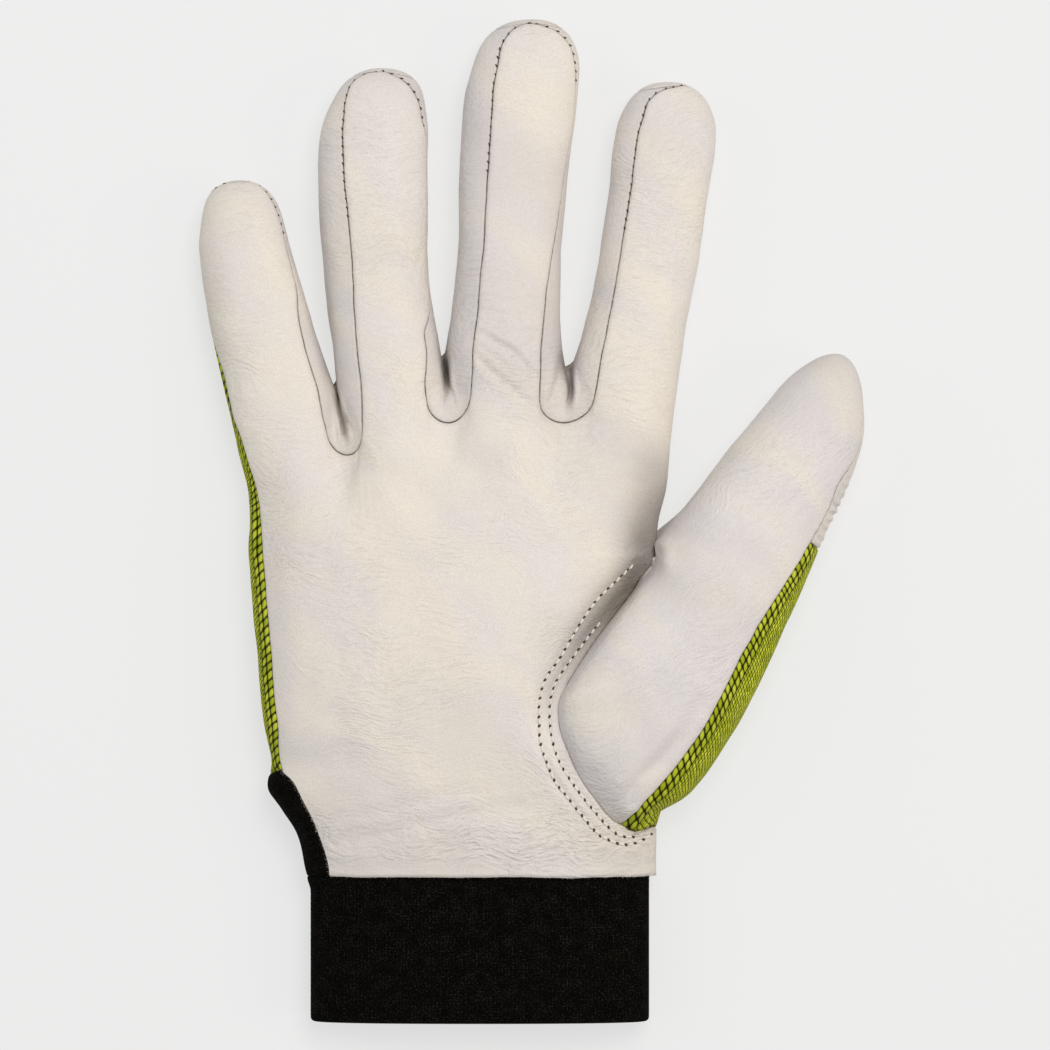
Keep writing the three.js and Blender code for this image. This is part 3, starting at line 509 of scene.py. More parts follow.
BACK_SEAM_LEFT = 212
BACK_SEAM_RIGHT = -52


def back_seam(finger, side, y):
    """The angle of the seam under a finger, where the side strips end over the dome."""
    start = finger["tip"] - finger["dome"]
    narrowing = ease(y, start + 0.7 * finger["dome"], start + STRIP_END * finger["dome"])
    if side == "left":
        if finger is FINGERS[0]:
            return seam_angle(finger, "left", y)
        return lerp(BACK_SEAM_LEFT, seam_angle(finger, "left", y), narrowing)
    if finger is FINGERS[3]:
        return seam_angle(finger, "right", y)
    return lerp(BACK_SEAM_RIGHT, seam_angle(finger, "right", y), narrowing)


def strip_angle(finger, side, y, share):
    return lerp(seam_angle(finger, side, y), back_seam(finger, side, y), share)


def web_rise(share):
    """How far the crotch has climbed toward the back: a soft shoulder first, then a steep wall."""
    return 1 - (1 - share) ** WEB_RISE_POWER


def strip_start(index, share):
    web = WEBS[index]
    before, after = FINGERS[index], FINGERS[index + 1]
    rise = web_rise(share)
    return (before, lerp(before["start"][1], web["back_start"], rise),
            after, lerp(after["start"][0], web["back_start"], rise))


def web_point(index, share, turn):
    """A point of the crotch between two fingers, from the palm seam, 0, to the back seam, 1."""
    web = WEBS[index]
    before, before_y, after, after_y = strip_start(index, share)
    bottom = lerp(web["front_bottom"], web["back_bottom"], web_rise(share))
    # A cubic curve whose inner two points lie this low has its middle at the crotch's bottom
    low = (8 * bottom - before_y - after_y) / 6

    def leave(finger, side, y):
        """A finger's end of the curve, and where the curve heads for: on along the strip's line."""
        end = finger_place(finger, y, strip_angle(finger, side, y, share))
        above = finger_place(finger, y + 1, strip_angle(finger, side, y + 1, share))
        heading = end + (end - above) * (y - low)
        heading.z -= WEB_SINK * (1 - share)
        return end, heading

    a, c = leave(before, "right", before_y)
    b, d = leave(after, "left", after_y)
    s = 1 - turn
    return a * s ** 3 + c * 3 * s * s * turn + d * 3 * s * turn * turn + b * turn ** 3


def hand_angle(point, finger_angle):
    if finger_angle < 0:
        return finger_angle * HAND_WRAP_ANGLE / FINGER_WRAP_ANGLE
    return angle_across(section_at(HAND, point.y), point.x)


def leather_left_angle(y):
    return angle_across(section_at(HAND, y), read(ULNAR_SEAM, "x", y))


def hole_angle(row):
    """The angle of the leather's thumb-side edge at one of the rows across the hand."""
    hole = HAND_ROWS["hole"][row]
    if hole is None:
        return HAND_WRAP_ANGLE
    if isinstance(hole, str):
        return float(hole.split()[0])
    return angle_across(section_at(HAND, HAND_ROWS["right"][row]), hole)


HAND_ROWS["right_angle"] = [hole_angle(row) for row in HAND_ROWS["row"]]

# Where each column of the palm meets the finger roots: point, angle on the hand, and the place
# across the hand's last row that it comes up from
ROOTS = []
for k, finger in enumerate(FINGERS):
    for t in FINGER_SHARES:
        point, angle = front_root(finger, t)
        ROOTS.append((point, hand_angle(point, angle), point.x))
    if k < len(WEBS):
        for turn in even(WEB_STEPS)[1:-1]:
            point = web_point(k, 0, turn)
            foot = lerp(web_point(k, 0, 0).x, web_point(k, 0, 1).x, turn)
            ROOTS.append((point, hand_angle(point, 90), foot))
EDGE_DRIFT = 20.0
FIRST_ROOT_X = ROOTS[0][0].x
LAST_ROOT_X = max(point.x for point, angle, _ in ROOTS if angle > 0)


def last_row_angle(angle, foot):
    """Where a column crosses the hand's last row: below its root, drifting out beside the edges."""
    y = HAND_ROWS["left"][-1]
    if angle <= 0:
        return angle * HAND_WRAP_ANGLE / ROOTS[-1][1]
    left = (read(ULNAR_SEAM, "x", y) - FIRST_ROOT_X) * (1 - ease(foot - FIRST_ROOT_X, 0, EDGE_DRIFT))
    right = (read(HAND, "right", y) - LAST_ROOT_X) * (1 - ease(LAST_ROOT_X - foot, 0, EDGE_DRIFT))
    return angle_across(section_at(HAND, y), foot + left + right)


TOP_ANGLES = [last_row_angle(angle, foot) for _, angle, foot in ROOTS]
HAND_WIDTH = 95
near_seam = [offset / HAND_WIDTH for offset in SEAM_OFFSETS]
between = len(ROOTS) - 2 * len(near_seam) + 1
HAND_SHARES = [
    *near_seam,
    *(lerp(near_seam[-1], 1 - near_seam[-1], i / between) for i in range(1, between)),
    *(1 - share for share in reversed(near_seam)),
]


def root_offset(point, angle):
    """A root's place across and along, and how far it lies off the hand's plain surface."""
    return point.x, point.y, point - hand_place(point.y, angle)


# A coarse row of offsets over the finger roots and crotches, from which the palm is drawn
CROWN = []
CROWN_FINGER_STEPS = 5
CROWN_WEB_STEPS = 4
for k, finger in enumerate(FINGERS):
    for t in even(CROWN_FINGER_STEPS):
        point, angle = front_root(finger, t)
        if angle > 0:
            CROWN.append(root_offset(point, hand_angle(point, angle)))
    if k < len(WEBS):
        for turn in even(CROWN_WEB_STEPS)[1:-1]:
            point = web_point(k, 0, turn)
            CROWN.append(root_offset(point, hand_angle(point, 90)))
OFFSETS = [root_offset(point, angle) for point, angle, _ in ROOTS]
CROWN_X = [x for x, _, _ in CROWN]


def crown_at(x):
    k = min(max(bisect.bisect_left(CROWN_X, x) - 1, 0), len(CROWN) - 2)
    t = min(max((x - CROWN_X[k]) / (CROWN_X[k + 1] - CROWN_X[k]), 0.0), 1.0)
    return lerp(CROWN[k][1], CROWN[k + 1][1], t), CROWN[k][2].lerp(CROWN[k + 1][2], t)


def drawn_place(y, angle, column):
    """A point of the palm, drawn toward the finger roots above it."""
    point = hand_place(y, angle)
    if TOP_ANGLES[column] <= 0:
        _, root_y, offset = OFFSETS[column]
        return point + offset * (1 - ease(root_y - y, 0, KNUCKLE_BLEND))
    x = point.x
    spread = ROOT_SPREAD * (crown_at(x)[0] - y)
    for side in ROOT_SAMPLES:
        root_y, offset = crown_at(x + side * spread)
        weight = 1 - ease(root_y - y, 0, KNUCKLE_BLEND)
        point = point + offset * (weight / len(ROOT_SAMPLES))
    return point


FITS = [point - drawn_place(point.y, angle, j) for j, (point, angle, _) in enumerate(ROOTS)]
# The share of the way up the hand from which its columns lean toward the finger roots
ROOTS_FROM = 0.1


def top_share(column):
    return (TOP_ANGLES[column] - TOP_ANGLES[0]) / (TOP_ANGLES[-1] - TOP_ANGLES[0])


def palm_place(row, column):
    """A point of the palm. Rows past the last one in the table rise on to the finger roots."""
    root, root_angle, _ = ROOTS[column]
    across = HAND_SHARES[column]
    if row <= LAST_ROW:
        left = read(HAND_ROWS, "left", row)
        right = read(HAND_ROWS, "right", row)
        climb = ease(row / LAST_ROW, ROOTS_FROM, 1)
        share = lerp(across, top_share(column), climb)
        angle = lerp(leather_left_angle(left), read(HAND_ROWS, "right_angle", row), share)
        y = lerp(left, right, across)
    else:
        rise = row - LAST_ROW
        first_y = HAND_ROWS["left"][-1]
        y = lerp(first_y, root.y, rise)
        angle = lerp(TOP_ANGLES[column], root_angle, rise)
        if root_angle > 0:
            across = lerp(hand_place(first_y, TOP_ANGLES[column]).x, root.x, rise)
            angle = angle_across(section_at(HAND, y), across)
    return drawn_place(y, angle, column) + FITS[column] * (1 - ease(root.y - y, 0, ROOT_FIT))


def fine_rows(first, last, pitch):
    """Places between rows of the table, about one pitch apart on the surface."""
    places = [float(first)]
    for row in range(first, last):
        a = HAND_ROWS["left"][row], HAND_ROWS["right"][row]
        b = HAND_ROWS["left"][row + 1], HAND_ROWS["right"][row + 1]
        steps = max(1, round(max(b[0] - a[0], b[1] - a[1]) / pitch))
        places += [row + (i + 1) / steps for i in range(steps)]
    return places


PALM_PITCH = 1.1
KNUCKLE_LENGTH = 11
PALM_PLACES = fine_rows(0, LAST_ROW, PALM_PITCH)
KNUCKLE_PLACES = [LAST_ROW + t
                  for t in seam_spaced(KNUCKLE_LENGTH, PALM_PITCH, first=False)[1:-1]]
palm_grid = [[palm_place(row, c) for c in range(len(ROOTS))] for row in PALM_PLACES]
palm_grid += [[palm_place(row, c) for c in range(len(ROOTS))] for row in KNUCKLE_PLACES]
palm_grid.append([point for point, _, _ in ROOTS])
finger_grids = [finger_front(finger) for finger in FINGERS]


def lay_grid(shape, uv_layer, rows, cut_rows=0, cut_column=0, inset=0.0):
    """Adds one grid of places to a shape, with its cloth lengths as UVs in metres.

    The cloth of the first cut_rows is cut away up to cut_column, so its lengths line up there.
    The inset is how much cloth, in mm, lies before the grid's first column.
    """
    columns, lines = len(rows[0]) - 1, len(rows) - 1
    along = [0.0]
    for a, b in zip(rows, rows[1:]):
        along.append(along[-1] + (b[columns // 2] - a[columns // 2]).length * MM)
    across = []
    for row in rows:
        run = [inset * MM]
        for a, b in zip(row, row[1:]):
            run.append(run[-1] + (b - a).length * MM)
        across.append(run)
    for i in range(cut_rows):
        off = across[cut_rows][cut_column] - across[i][cut_column]
        across[i] = [length + off for length in across[i]]
    made = bmesh.ops.create_grid(shape, x_segments=columns, y_segments=lines, size=0.5)
    place = {}
    for vertex in made["verts"]:
        j = round((vertex.co.x + 0.5) * columns)
        i = round((vertex.co.y + 0.5) * lines)
        place[vertex] = (i, j)
        vertex.co = rows[i][j] * MM
    for face in {face for vertex in made["verts"] for face in vertex.link_faces}:
        for loop in face.loops:
            i, j = place[loop.vert]
            loop[uv_layer].uv = (across[i][j], along[i])


JOIN_REACH = 0.003


def join_up(shape, turned=False):
    """Joins a panel's grids along the edges they share, and turns it right side out."""
    bmesh.ops.remove_doubles(shape, verts=shape.verts, dist=JOIN_REACH * MM)
    if turned:
        bmesh.ops.reverse_faces(shape, faces=shape.faces)


def panel(*grids, turned=False):
    """A panel of one or more grids of places."""
    shape = bmesh.new()
    uv_layer = shape.loops.layers.uv.new("cloth")
    for rows in grids:
        lay_grid(shape, uv_layer, rows)
    join_up(shape, turned)
    return shape


# Blender draws its vector noise anew at each start unless it is seeded
SWELL_SEED = 7
noise.seed_set(SWELL_SEED)
SWELL = 0.3
SWELL_TURNS = 75
SMALL_SWELL_TURNS = 170
SWELL_FROM_Z = (0, 8)
# The thumb fabric's foot is rounded: toward the wrist's side its seam climbs again
FOOT_AT = -78.5
FOOT_LIFT = 2.6
FOOT_REACH = 12.0
FOOT_FROM_X = (25.5, 31)
FOOT_FROM_Z = (3, 8)


def soften(shape):
    """Low uneven swells over the whole glove, as soft goods have, fading toward where it rests."""
    for vertex in shape.verts:
        x, y, z = vertex.co / MM
        near = max(0.0, 1 - ((y - FOOT_AT) / FOOT_REACH) ** 2) ** 2
        vertex.co.y += FOOT_LIFT * MM * near * ease(x, *FOOT_FROM_X) * ease(z, *FOOT_FROM_Z)
        swell = noise.noise_vector(vertex.co * SWELL_TURNS)
        swell = swell + 0.5 * noise.noise_vector(vertex.co * SMALL_SWELL_TURNS)
        vertex.co += swell * SWELL * MM * ease(vertex.co.z / MM, *SWELL_FROM_Z)


THIN_WALL_SHARE = 0.02
sewn_panels = []


def make_piece(name, shape, finish, nodes=(), wall=0.0, raw_edge=None):
    """Turns a shape into a finished piece of the glove. Where it has a wall it is a sewn panel."""
    mesh = bpy.data.meshes.new(name)
    if wall:
        soften(shape)
    for face in shape.faces:
        face.smooth = True
    shape.to_mesh(mesh)
    shape.free()
    piece = bpy.data.objects.new(name, mesh)
    scene.collection.objects.link(piece)
    mesh.materials.append(finish)
    if wall:
        thick = piece.modifiers.new("wall", "SOLIDIFY")
        thick.thickness = wall * MM
        thick.offset = -1
        thick.vertex_group = piece.vertex_groups.new(name="wall").name
        thick.thickness_vertex_group = THIN_WALL_SHARE
        sewn_panels.append((piece, raw_edge or (lambda co: False)))
    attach(piece, "root")
    if nodes:
        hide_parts(*nodes)
    return piece


class Value:
    """A shader value that takes ordinary arithmetic."""

    def __init__(self, finish, socket):
        self.finish = finish
        self.socket = socket

    def maths(self, operation, *others):
        sockets = dict(enumerate((self, *others)))
        return self.finish.node("Math", {"operation": operation}, sockets)

    def __add__(self, other):
        return self.maths("ADD", other)

    __radd__ = __add__

    def __sub__(self, other):
        return self.maths("SUBTRACT", other)

    def __rsub__(self, other):
        return (self * -1) + other

    def __mul__(self, other):
        return self.maths("MULTIPLY", other)

    __rmul__ = __mul__

    def __truediv__(self, other):
        return self.maths("DIVIDE", other)

    def __pow__(self, other):
        return self.maths("POWER", other)

    def __mod__(self, other):
        return self.maths("FLOORED_MODULO", other)


class Finish:
    """A material while it is put together."""

    def __init__(self, name, **constants):
        self.material = bpy.data.materials.new(name)
        self.material.use_nodes = True
        self.tree = self.material.node_tree
        self.shader = self.tree.nodes["Principled BSDF"]
        for socket, value in constants.items():
            self.shader.inputs[socket.replace("_", " ")].default_value = value

    def node(self, kind, settings, sockets, out=0):
        made = self.tree.nodes.new("ShaderNode" + kind)
        for key, value in settings.items():
            setattr(made, key, value)
        for key, value in sockets.items():
            if isinstance(value, Value):
                self.tree.links.new(value.socket, made.inputs[key])
            else:
                made.inputs[key].default_value = value
        return Value(self, made.outputs[out])

    def noise(self, place, scale, detail=2.0, out=0, **more):
        return self.node("TexNoise", {}, {"Vector": place, "Scale": scale, "Detail": detail, **more},
                         out)

    def ramp(self, value, low, high, to_low=0.0, to_high=1.0):
        """A value from low to high as one from to_low to to_high, held level past both ends."""
        return self.node("MapRange", {}, {"Value": value, "From Min": low, "From Max": high,
                                          "To Min": to_low, "To Max": to_high})

    def stretched(self, place, scale, turn):
        """A place for patterns that are drawn out along their first axis and turned."""
        return self.node("Mapping", {"vector_type": "TEXTURE"},
                         {"Vector": place, "Rotation": (0, 0, turn), "Scale": scale})

    def parts(self, place):
        """The first two numbers of a place."""
        return [self.node("SeparateXYZ", {}, {0: place}, out) for out in (0, 1)]

    def mix(self, factor, a, b):
        a, b = ((*c, 1) if isinstance(c, tuple) and len(c) == 3 else c for c in (a, b))
        return self.node("Mix", {"data_type": "RGBA"}, {0: factor, 6: a, 7: b}, 2)

    def feed(self, socket, value):
        self.tree.links.new(value.socket, self.shader.inputs[socket])

    def bump(self, height, strength, distance):
        relief = self.node("Bump", {}, {"Strength": strength, "Distance": distance, "Height": height})
        self.feed("Normal", relief)


def colour(red, green, blue):
    """A colour as seen on screen, in the linear numbers that shaders use."""
    return tuple(c / 12.92 if c <= 0.04045 else ((c + 0.055) / 1.055) ** 2.4
                 for c in (red / 255, green / 255, blue / 255))


def leather_finish(name, warm, cool, grain_turn=0.0):
    """Smooth off-white hide: warm and cool bands, fine wavy wrinkles, a thin brown line at seams, and
    painted shade.
    """
    hide = Finish(name, Specular_IOR_Level=0.3)
    spot = hide.node("TexCoord", {}, {}, out=3)
    seam = hide.node("Attribute", {"attribute_name": "seam"}, {}, out=2)
    shade = hide.node("Attribute", {"attribute_name": "shade"}, {}, out=2)
    drift = hide.noise(spot, 45.0, detail=1.0, out=1)
    bent = hide.node("VectorMath", {"operation": "MULTIPLY_ADD"},
                     {0: drift, 1: (0.02, 0.02, 0.02), 2: spot})
    grained = hide.stretched(bent, (4.2, 0.9, 1.4), grain_turn)
    banded = hide.stretched(bent, (2.2, 0.8, 1.0), -0.8)
    pores = hide.noise(spot, 2600.0)
    folds = hide.noise(grained, 240.0)
    wrinkle = hide.noise(grained, 1150.0, Distortion=0.3)

    # Wrinkles come in patches, and gather above the smooth band at the hem
    along = hide.node("SeparateXYZ", {}, {0: spot}, out=1)
    patches = hide.ramp(hide.noise(spot, 38.0, detail=1.0), 0.4, 0.6, 0.25, 1.0)
    gathered = hide.ramp(along, -69 * MM, -77 * MM) * hide.ramp(along, -86 * MM, -83.5 * MM)
    wrinkled = patches * 0.72 + gathered * 0.6

    base = hide.mix(hide.ramp(hide.noise(banded, 52.0), 0.4, 0.6), cool, warm)
    dull = hide.ramp(hide.noise(banded, 30.0, detail=1.0), 0.5, 0.72, 0.0, 0.4)
    base = hide.mix(dull, base, colour(206, 199, 198))
    # Painted shade: the wrinkles' valleys are painted darker.
    painted_valley_shade = hide.ramp(wrinkle, 0.52, 0.32) * wrinkled
    base = hide.mix(painted_valley_shade * 0.11, base, colour(140, 130, 122))
    grain = hide.ramp(pores, 0.6, 0.42)
    base = hide.mix(grain * 0.13, base, colour(150, 140, 130))
    # Painted shade from the shade attribute: beside the thumb and in its shadow, deep in the crotches,
    # where the hide turns away from the light, and darker toward the thumb's tip.
    base = hide.mix(shade * 0.55, base, colour(98, 90, 82))
    # Beside each seam the hide is painted darker: partly painted shade where it turns into the seam,
    # partly grime.
    base = hide.mix(hide.ramp(seam, 0.62, 0.96, 0.0, 0.16), base, colour(150, 136, 122))
    uneven = hide.ramp(hide.noise(spot, 620.0), 0.4, 0.6, 0.5, 1.0)
    groove = hide.ramp(seam, 0.93, 1.0, 0.0, 0.9)
    base = hide.mix(groove * uneven, base, colour(70, 58, 48))
    hide.feed("Base Color", base)
    hide.feed("Roughness", 0.6 + pores * 0.1)
    hide.bump(folds * 0.42 * patches + wrinkle * wrinkled * 0.5 + pores * 0.09, 1.0, MM)
    return hide.material


palm_hide = leather_finish("palm_hide", colour(231, 223, 211), colour(226, 219, 214))

# Creases pressed into the palm: width and depth in mm, then the line's points
PALM_CREASES = [
    (0.95, 0.9, (-12.5, 46.5), (-9.5, 44.3), (-5.2, 42.0), (-1.5, 37.5), (0.8, 35.2)),
    (0.95, 0.85, (-14.0, 41.2), (-11.6, 38.6), (-9.0, 36.0), (-5.0, 32.5), (-1.8, 29.3)),
    (0.9, 0.35, (-13.2, 43.9), (-9.0, 40.0), (-4.0, 36.4)),
    (0.8, 0.45, (25.2, 21.5), (27.5, 19.8), (29.8, 17.5)),
    (0.8, 0.45, (23.8, 11.2), (26.0, 9.6), (28.3, 7.8)),
    (4.0, 0.5, (-45.8, 20.2), (-38.0, 12.0), (-27.0, 5.0), (-20.0, -2.0)),
    (3.5, 0.4, (-22.0, 16.0), (-15.0, 12.0), (-6.0, 10.5), (6.0, 12.0)),
    (3.0, 0.35, (-64.0, -62.0), (-54.0, -60.0), (-44.0, -57.5)),
    (2.2, 0.45, (-52.0, -80.0), (-38.0, -77.5), (-20.0, -73.0), (0.0, -70.5)),
    (1.6, 0.3, (-50.0, -74.0), (-36.0, -72.0), (-22.0, -68.0), (-8.0, -66.0)),
]


def nearest_on(line, x, y):
    """How far a place is from a line, and how far along the line that is, from 0 to 1."""
    nearest, share = math.inf, 0.0
    for k, (a, b) in enumerate(zip(line, line[1:])):
        dx, dy = b[0] - a[0], b[1] - a[1]
        t = ((x - a[0]) * dx + (y - a[1]) * dy) / (dx * dx + dy * dy)
        t = min(max(t, 0.0), 1.0)
        away = math.hypot(x - a[0] - t * dx, y - a[1] - t * dy)
        if away < nearest:
            nearest, share = away, (k + t) / (len(line) - 1)
    return nearest, share


# A crease has a low ridge on each side, this many widths from its middle and this share as high
RIDGE_AT = 1.9
RIDGE_SHARE = 0.35


def crease_depth(creases, x, y):
    """How deep the creases are at a place, fading toward the ends of each line."""
    depth = 0.0
    for width, most, *line in creases:
        nearest, share = nearest_on(line, x, y)
        if nearest < 4 * width:
            fade = math.sin(math.pi * (share * 0.9 + 0.05)) ** 0.6
            reach = nearest / width
            ridge = RIDGE_SHARE * math.exp(-((reach - RIDGE_AT) ** 2))
            depth += most * fade * (math.exp(-reach * reach) - ridge)
    return depth


# The two rows of stitches round the thumb hole, in order from its upper end
OUTER_STITCHES = [
    (24.5, -11.2), (20.6, -14.9), (15.8, -19.6), (11.6, -25.5), (6.9, -33.5), (3.2, -38.9),
    (1.7, -44.1), (1.5, -49.6), (2.0, -55.5), (4.9, -63.5), (9.2, -69.4), (14.6, -76.1),
    (17.6, -78.6), (21.8, -80.3), (25.5, -80.1), (28.5, -78.6),
]
INNER_STITCHES = [
    (16.3, -25.5), (12.9, -29.8), (9.2, -34.7), (5.7, -39.9), (4.2, -45.4), (4.4, -52.1),
    (6.2, -58.8), (9.9, -65.2), (14.1, -70.7), (18.8, -76.1), (21.8, -78.1), (25.5, -78.6),
]
STITCH_DIPS = [(1.0, 0.4, *OUTER_STITCHES), (1.0, 0.4, *INNER_STITCHES)]
# How deep the leather dips beside the thumb, and how much painted shade darkens it, for the thumb's
# shadow and where the palm turns down beside it
BESIDE_THUMB = table(
    "y depth shade",
    (-64.0, 0.1, 0.0),
    (-54.0, 0.5, 0.0),
    (-46.0, 1.6, 0.1),
    (-38.0, 3.4, 0.4),
    (-30.0, 5.4, 0.8),
    (-20.0, 7.0, 1.4),
    (-10.0, 6.0, 1.45),
    (-2.0, 1.0, 1.15),
    (6.0, 0.0, 0.85),
    (14.0, 0.0, 0.55),
    (26.0, 0.0, 0.2),
)
PALM_SHADE_REACH = 6.5
PALM_SINK_REACH = 4.2
THUMB_SINK_REACH = 1.0
# Creases are pressed only into what lies this high, and the dip is full a little higher
PALM_SIDE_FROM = 14
DIP_FULL_FROM = 19
hole_edge = [row[-1] for row, place in zip(palm_grid, PALM_PLACES)
             if THUMB_CORNER_ROW <= place <= LAST_ROW]
hole_tree = kdtree.KDTree(len(hole_edge))
for i, point in enumerate(hole_edge):
    hole_tree.insert((point.x, point.y, 0), i)
hole_tree.balance()


def near_hole(column, co, reach):
    """A column of the table for a place, fading with how far it is from the thumb hole's edge."""
    x, y = co.x / MM, co.y / MM
    _, _, away = hole_tree.find((x, y, 0))
    return read(BESIDE_THUMB, column, y) * math.exp(-(away / reach) ** 2)


def hole_sink(co, reach):
    """How deep the leather dips toward the thumb hole's edge, in mm."""
    return near_hole("depth", co, reach) * ease(co.z / MM, PALM_SIDE_FROM, DIP_FULL_FROM)


# Places where the hide is painted darker, as painted shade where it turns away from the light: the
# middle, how wide and tall, and how much
PALM_SHADES = [
    (27.0, -83.0, 13.0, 7.0, 0.28),
    (-80.0, 48.0, 5.0, 30.0, 0.22),
    (-64.0, -30.0, 4.0, 40.0, 0.12),
    (-61.0, 2.0, 6.0, 14.0, 0.14),
]


def painted_darkening(co, shades):
    """How much darker the hide is painted at a place."""
    return sum(amount * math.exp(-((co.x / MM - x) / wide) ** 2 - ((co.y / MM - y) / tall) ** 2)
               for x, y, wide, tall, amount in shades)


def press(shape, creases, shades, above, sink_reach=None, shade_reach=None):
    """Presses creases and the dip beside the thumb into a panel, and marks where it is painted darker.
    """
    shade = shape.verts.layers.float.new("shade")
    for vertex in shape.verts:
        vertex[shade] = painted_darkening(vertex.co, shades)
        if shade_reach is not None:
            vertex[shade] += near_hole("shade", vertex.co, shade_reach)
        if vertex.co.z > above * MM:
            depth = crease_depth(creases, vertex.co.x / MM, vertex.co.y / MM)
            if sink_reach is not None:
                depth += hole_sink(vertex.co, sink_reach)
            vertex.co.z -= depth * MM


palm_shape = panel(palm_grid, *finger_grids)
press(palm_shape, PALM_CREASES + STITCH_DIPS, PALM_SHADES, PALM_SIDE_FROM,
      PALM_SINK_REACH, PALM_SHADE_REACH)
# Edges that are only cut: at the hem, and over the gusset, which is left of and below this place
HEM_BELOW = -87.8
GUSSET_CORNER = (-40, -61.9)


def at_hem(co):
    return co.y < HEM_BELOW * MM


def palm_raw_edge(co):
    return at_hem(co) or (co.y < GUSSET_CORNER[1] * MM and co.x < GUSSET_CORNER[0] * MM)


palm = make_piece("palm_and_finger_fronts", palm_shape, palm_hide,
                  ["palm_leather"], wall=LEATHER_WALL, raw_edge=palm_raw_edge)

# The strips between the fingers: narrow pieces of the same hide that run down the side of one
# finger, round the crotch and up the side of the next. They are sewn to the palm and to the back.
strip_hide = leather_finish("strip_hide", colour(225, 217, 207), colour(216, 210, 208))
STRIP_WIDTH = 17
STRIP_SHARES = seam_spaced(STRIP_WIDTH, 0.7)
FOLDS_ABOVE = 6
# Painted shade on the strips: down the ring finger's left wall and deep in the crotches. Each spot is
# its middle, how wide and tall, and how much.
STRIP_SHADES = [
    (-54.3, 68.0, 2.2, 13.0, 0.6),
    (-51.3, 46.0, 1.8, 13.0, 0.6),
    (-46.6, 24.5, 1.1, 4.0, 0.7),
    (-21.7, 37.5, 1.5, 6.0, 1.1),
    (7.6, 39.5, 1.6, 3.5, 1.0),
    (9.3, 32.9, 1.0, 5.0, 1.0),
]
# The folds in each crotch: width and depth in mm, then the line's points
STRIP_FOLDS = [
    [
        (0.55, 3.2, (-49.1, 31.5), (-48.6, 29.1), (-48.0, 26.8), (-47.5, 25.2), (-47.1, 22.3),
         (-46.9, 20.4)),
        (0.35, 0.9, (-47.8, 26.6), (-46.1, 24.7), (-45.3, 23.7)),
    ],
    [
        (0.65, 3.2, (-22.0, 40.5), (-21.7, 38.0), (-21.6, 35.8), (-21.4, 32.3)),
        (0.35, 0.8, (-21.6, 32.2), (-22.4, 29.5)),
        (0.35, 0.8, (-21.1, 34.9), (-19.2, 29.1)),
    ],
    [
        (0.55, 3.2, (9.4, 37.4), (9.3, 35.1), (9.6, 32.8), (9.4, 31.0), (8.8, 29.1)),
        (0.7, 1.0, (6.9, 40.8), (6.2, 35.6), (5.8, 33.7), (5.3, 31.4), (4.5, 29.8)),
    ],
]


def strip_arm(finger, side, start, back_start):
    """The part of a strip that runs up one finger, from the crotch to the fingertip."""
    starts = [lerp(start, back_start, web_rise(share)) for share in STRIP_SHARES]
    tops = [y for y in dome_heights(finger, DOME_STEPS)
            if y < finger["tip"] - (1 - STRIP_END) * finger["dome"]]
    return finger_rows(finger, starts, STRIP_SHARES, even(SHAFT_STEPS), tops,
                       lambda y, share: strip_angle(finger, side, y, share))


for index, web in enumerate(WEBS):
    before, after = FINGERS[index], FINGERS[index + 1]
    before_rows = strip_arm(before, "right", before["start"][1], web["back_start"])
    after_rows = strip_arm(after, "left", after["start"][0], web["back_start"])
    crotch = [[web_point(index, share, turn) for share in STRIP_SHARES]
              for turn in even(WEB_STEPS)[1:-1]]
    strip_shape = panel([*reversed(before_rows), *crotch, *after_rows], turned=True)
    press(strip_shape, STRIP_FOLDS[index], STRIP_SHADES, FOLDS_ABOVE)
    make_piece("strip_" + web["name"], strip_shape, strip_hide,
               ["fourchette_" + web["name"]], wall=LEATHER_WALL)

# The back: one piece of chunky green stretch fabric from the cuff to the fingertip caps. It turns
# up the little-finger side to its seam with the palm, and is pressed flat where the glove lies.
FABRIC_WALL = 1.2
FINGER_BACK_WIDTH = 26
BACK_SHARES = seam_spaced(FINGER_BACK_WIDTH, 2.4)
FINGER_BACK_LENGTH = 60
CAP_PLACE = 6 / 7
# The back's columns are counted in parts, so many under each finger and under each crotch
FINGER_PARTS = 3
WEB_PARTS = 4
BACK_PARTS = len(FINGERS) * FINGER_PARTS + len(WEBS) * WEB_PARTS
# The first of them turn up the little-finger side. Toward the fingers all follow their roots.
SIDE_SHARE = FINGER_PARTS / BACK_PARTS
SIDE_TURN_ANGLE = 228
ROOTS_FROM_Y = -20
RISE_STEPS = 26
# The row of the palm at which the back's edge leaves it for its own seam with the thumb's fabric
BACK_SEAM_ROW = 2
GUSSET_BACK = table(
    "y angle",
    (-88.5, 225),
    (-74.5, 225),
    (-70.0, 216),
    (-65.3, 194),
    (-63.4, 184),
    (-62.3, 169),
    (-61.7, 158.5),
)


def finger_back(k, shares, shaft_places, tops):
    """Rows under a finger, from the seam at one side to the seam at the other."""
    finger = FINGERS[k]
    left = WEBS[max(k - 1, 0)]["back_start"]
    right = WEBS[min(k, len(WEBS) - 1)]["back_start"]
    starts = [lerp(left, right, t) for t in shares]

    def angle_at(y, t):
        return lerp(back_seam(finger, "left", y), 360 + back_seam(finger, "right", y), t)
    return finger_rows(finger, starts, shares, shaft_places, tops, angle_at)


def under_angle(y, x):
    return 360 + angle_under(section_at(HAND, y), x, 0.97)


back_places = [CAP_PLACE * t for t in seam_spaced(FINGER_BACK_LENGTH, 2.0, first=False)]
back_strips = [finger_back(k, BACK_SHARES, back_places, []) for k in range(len(FINGERS))]
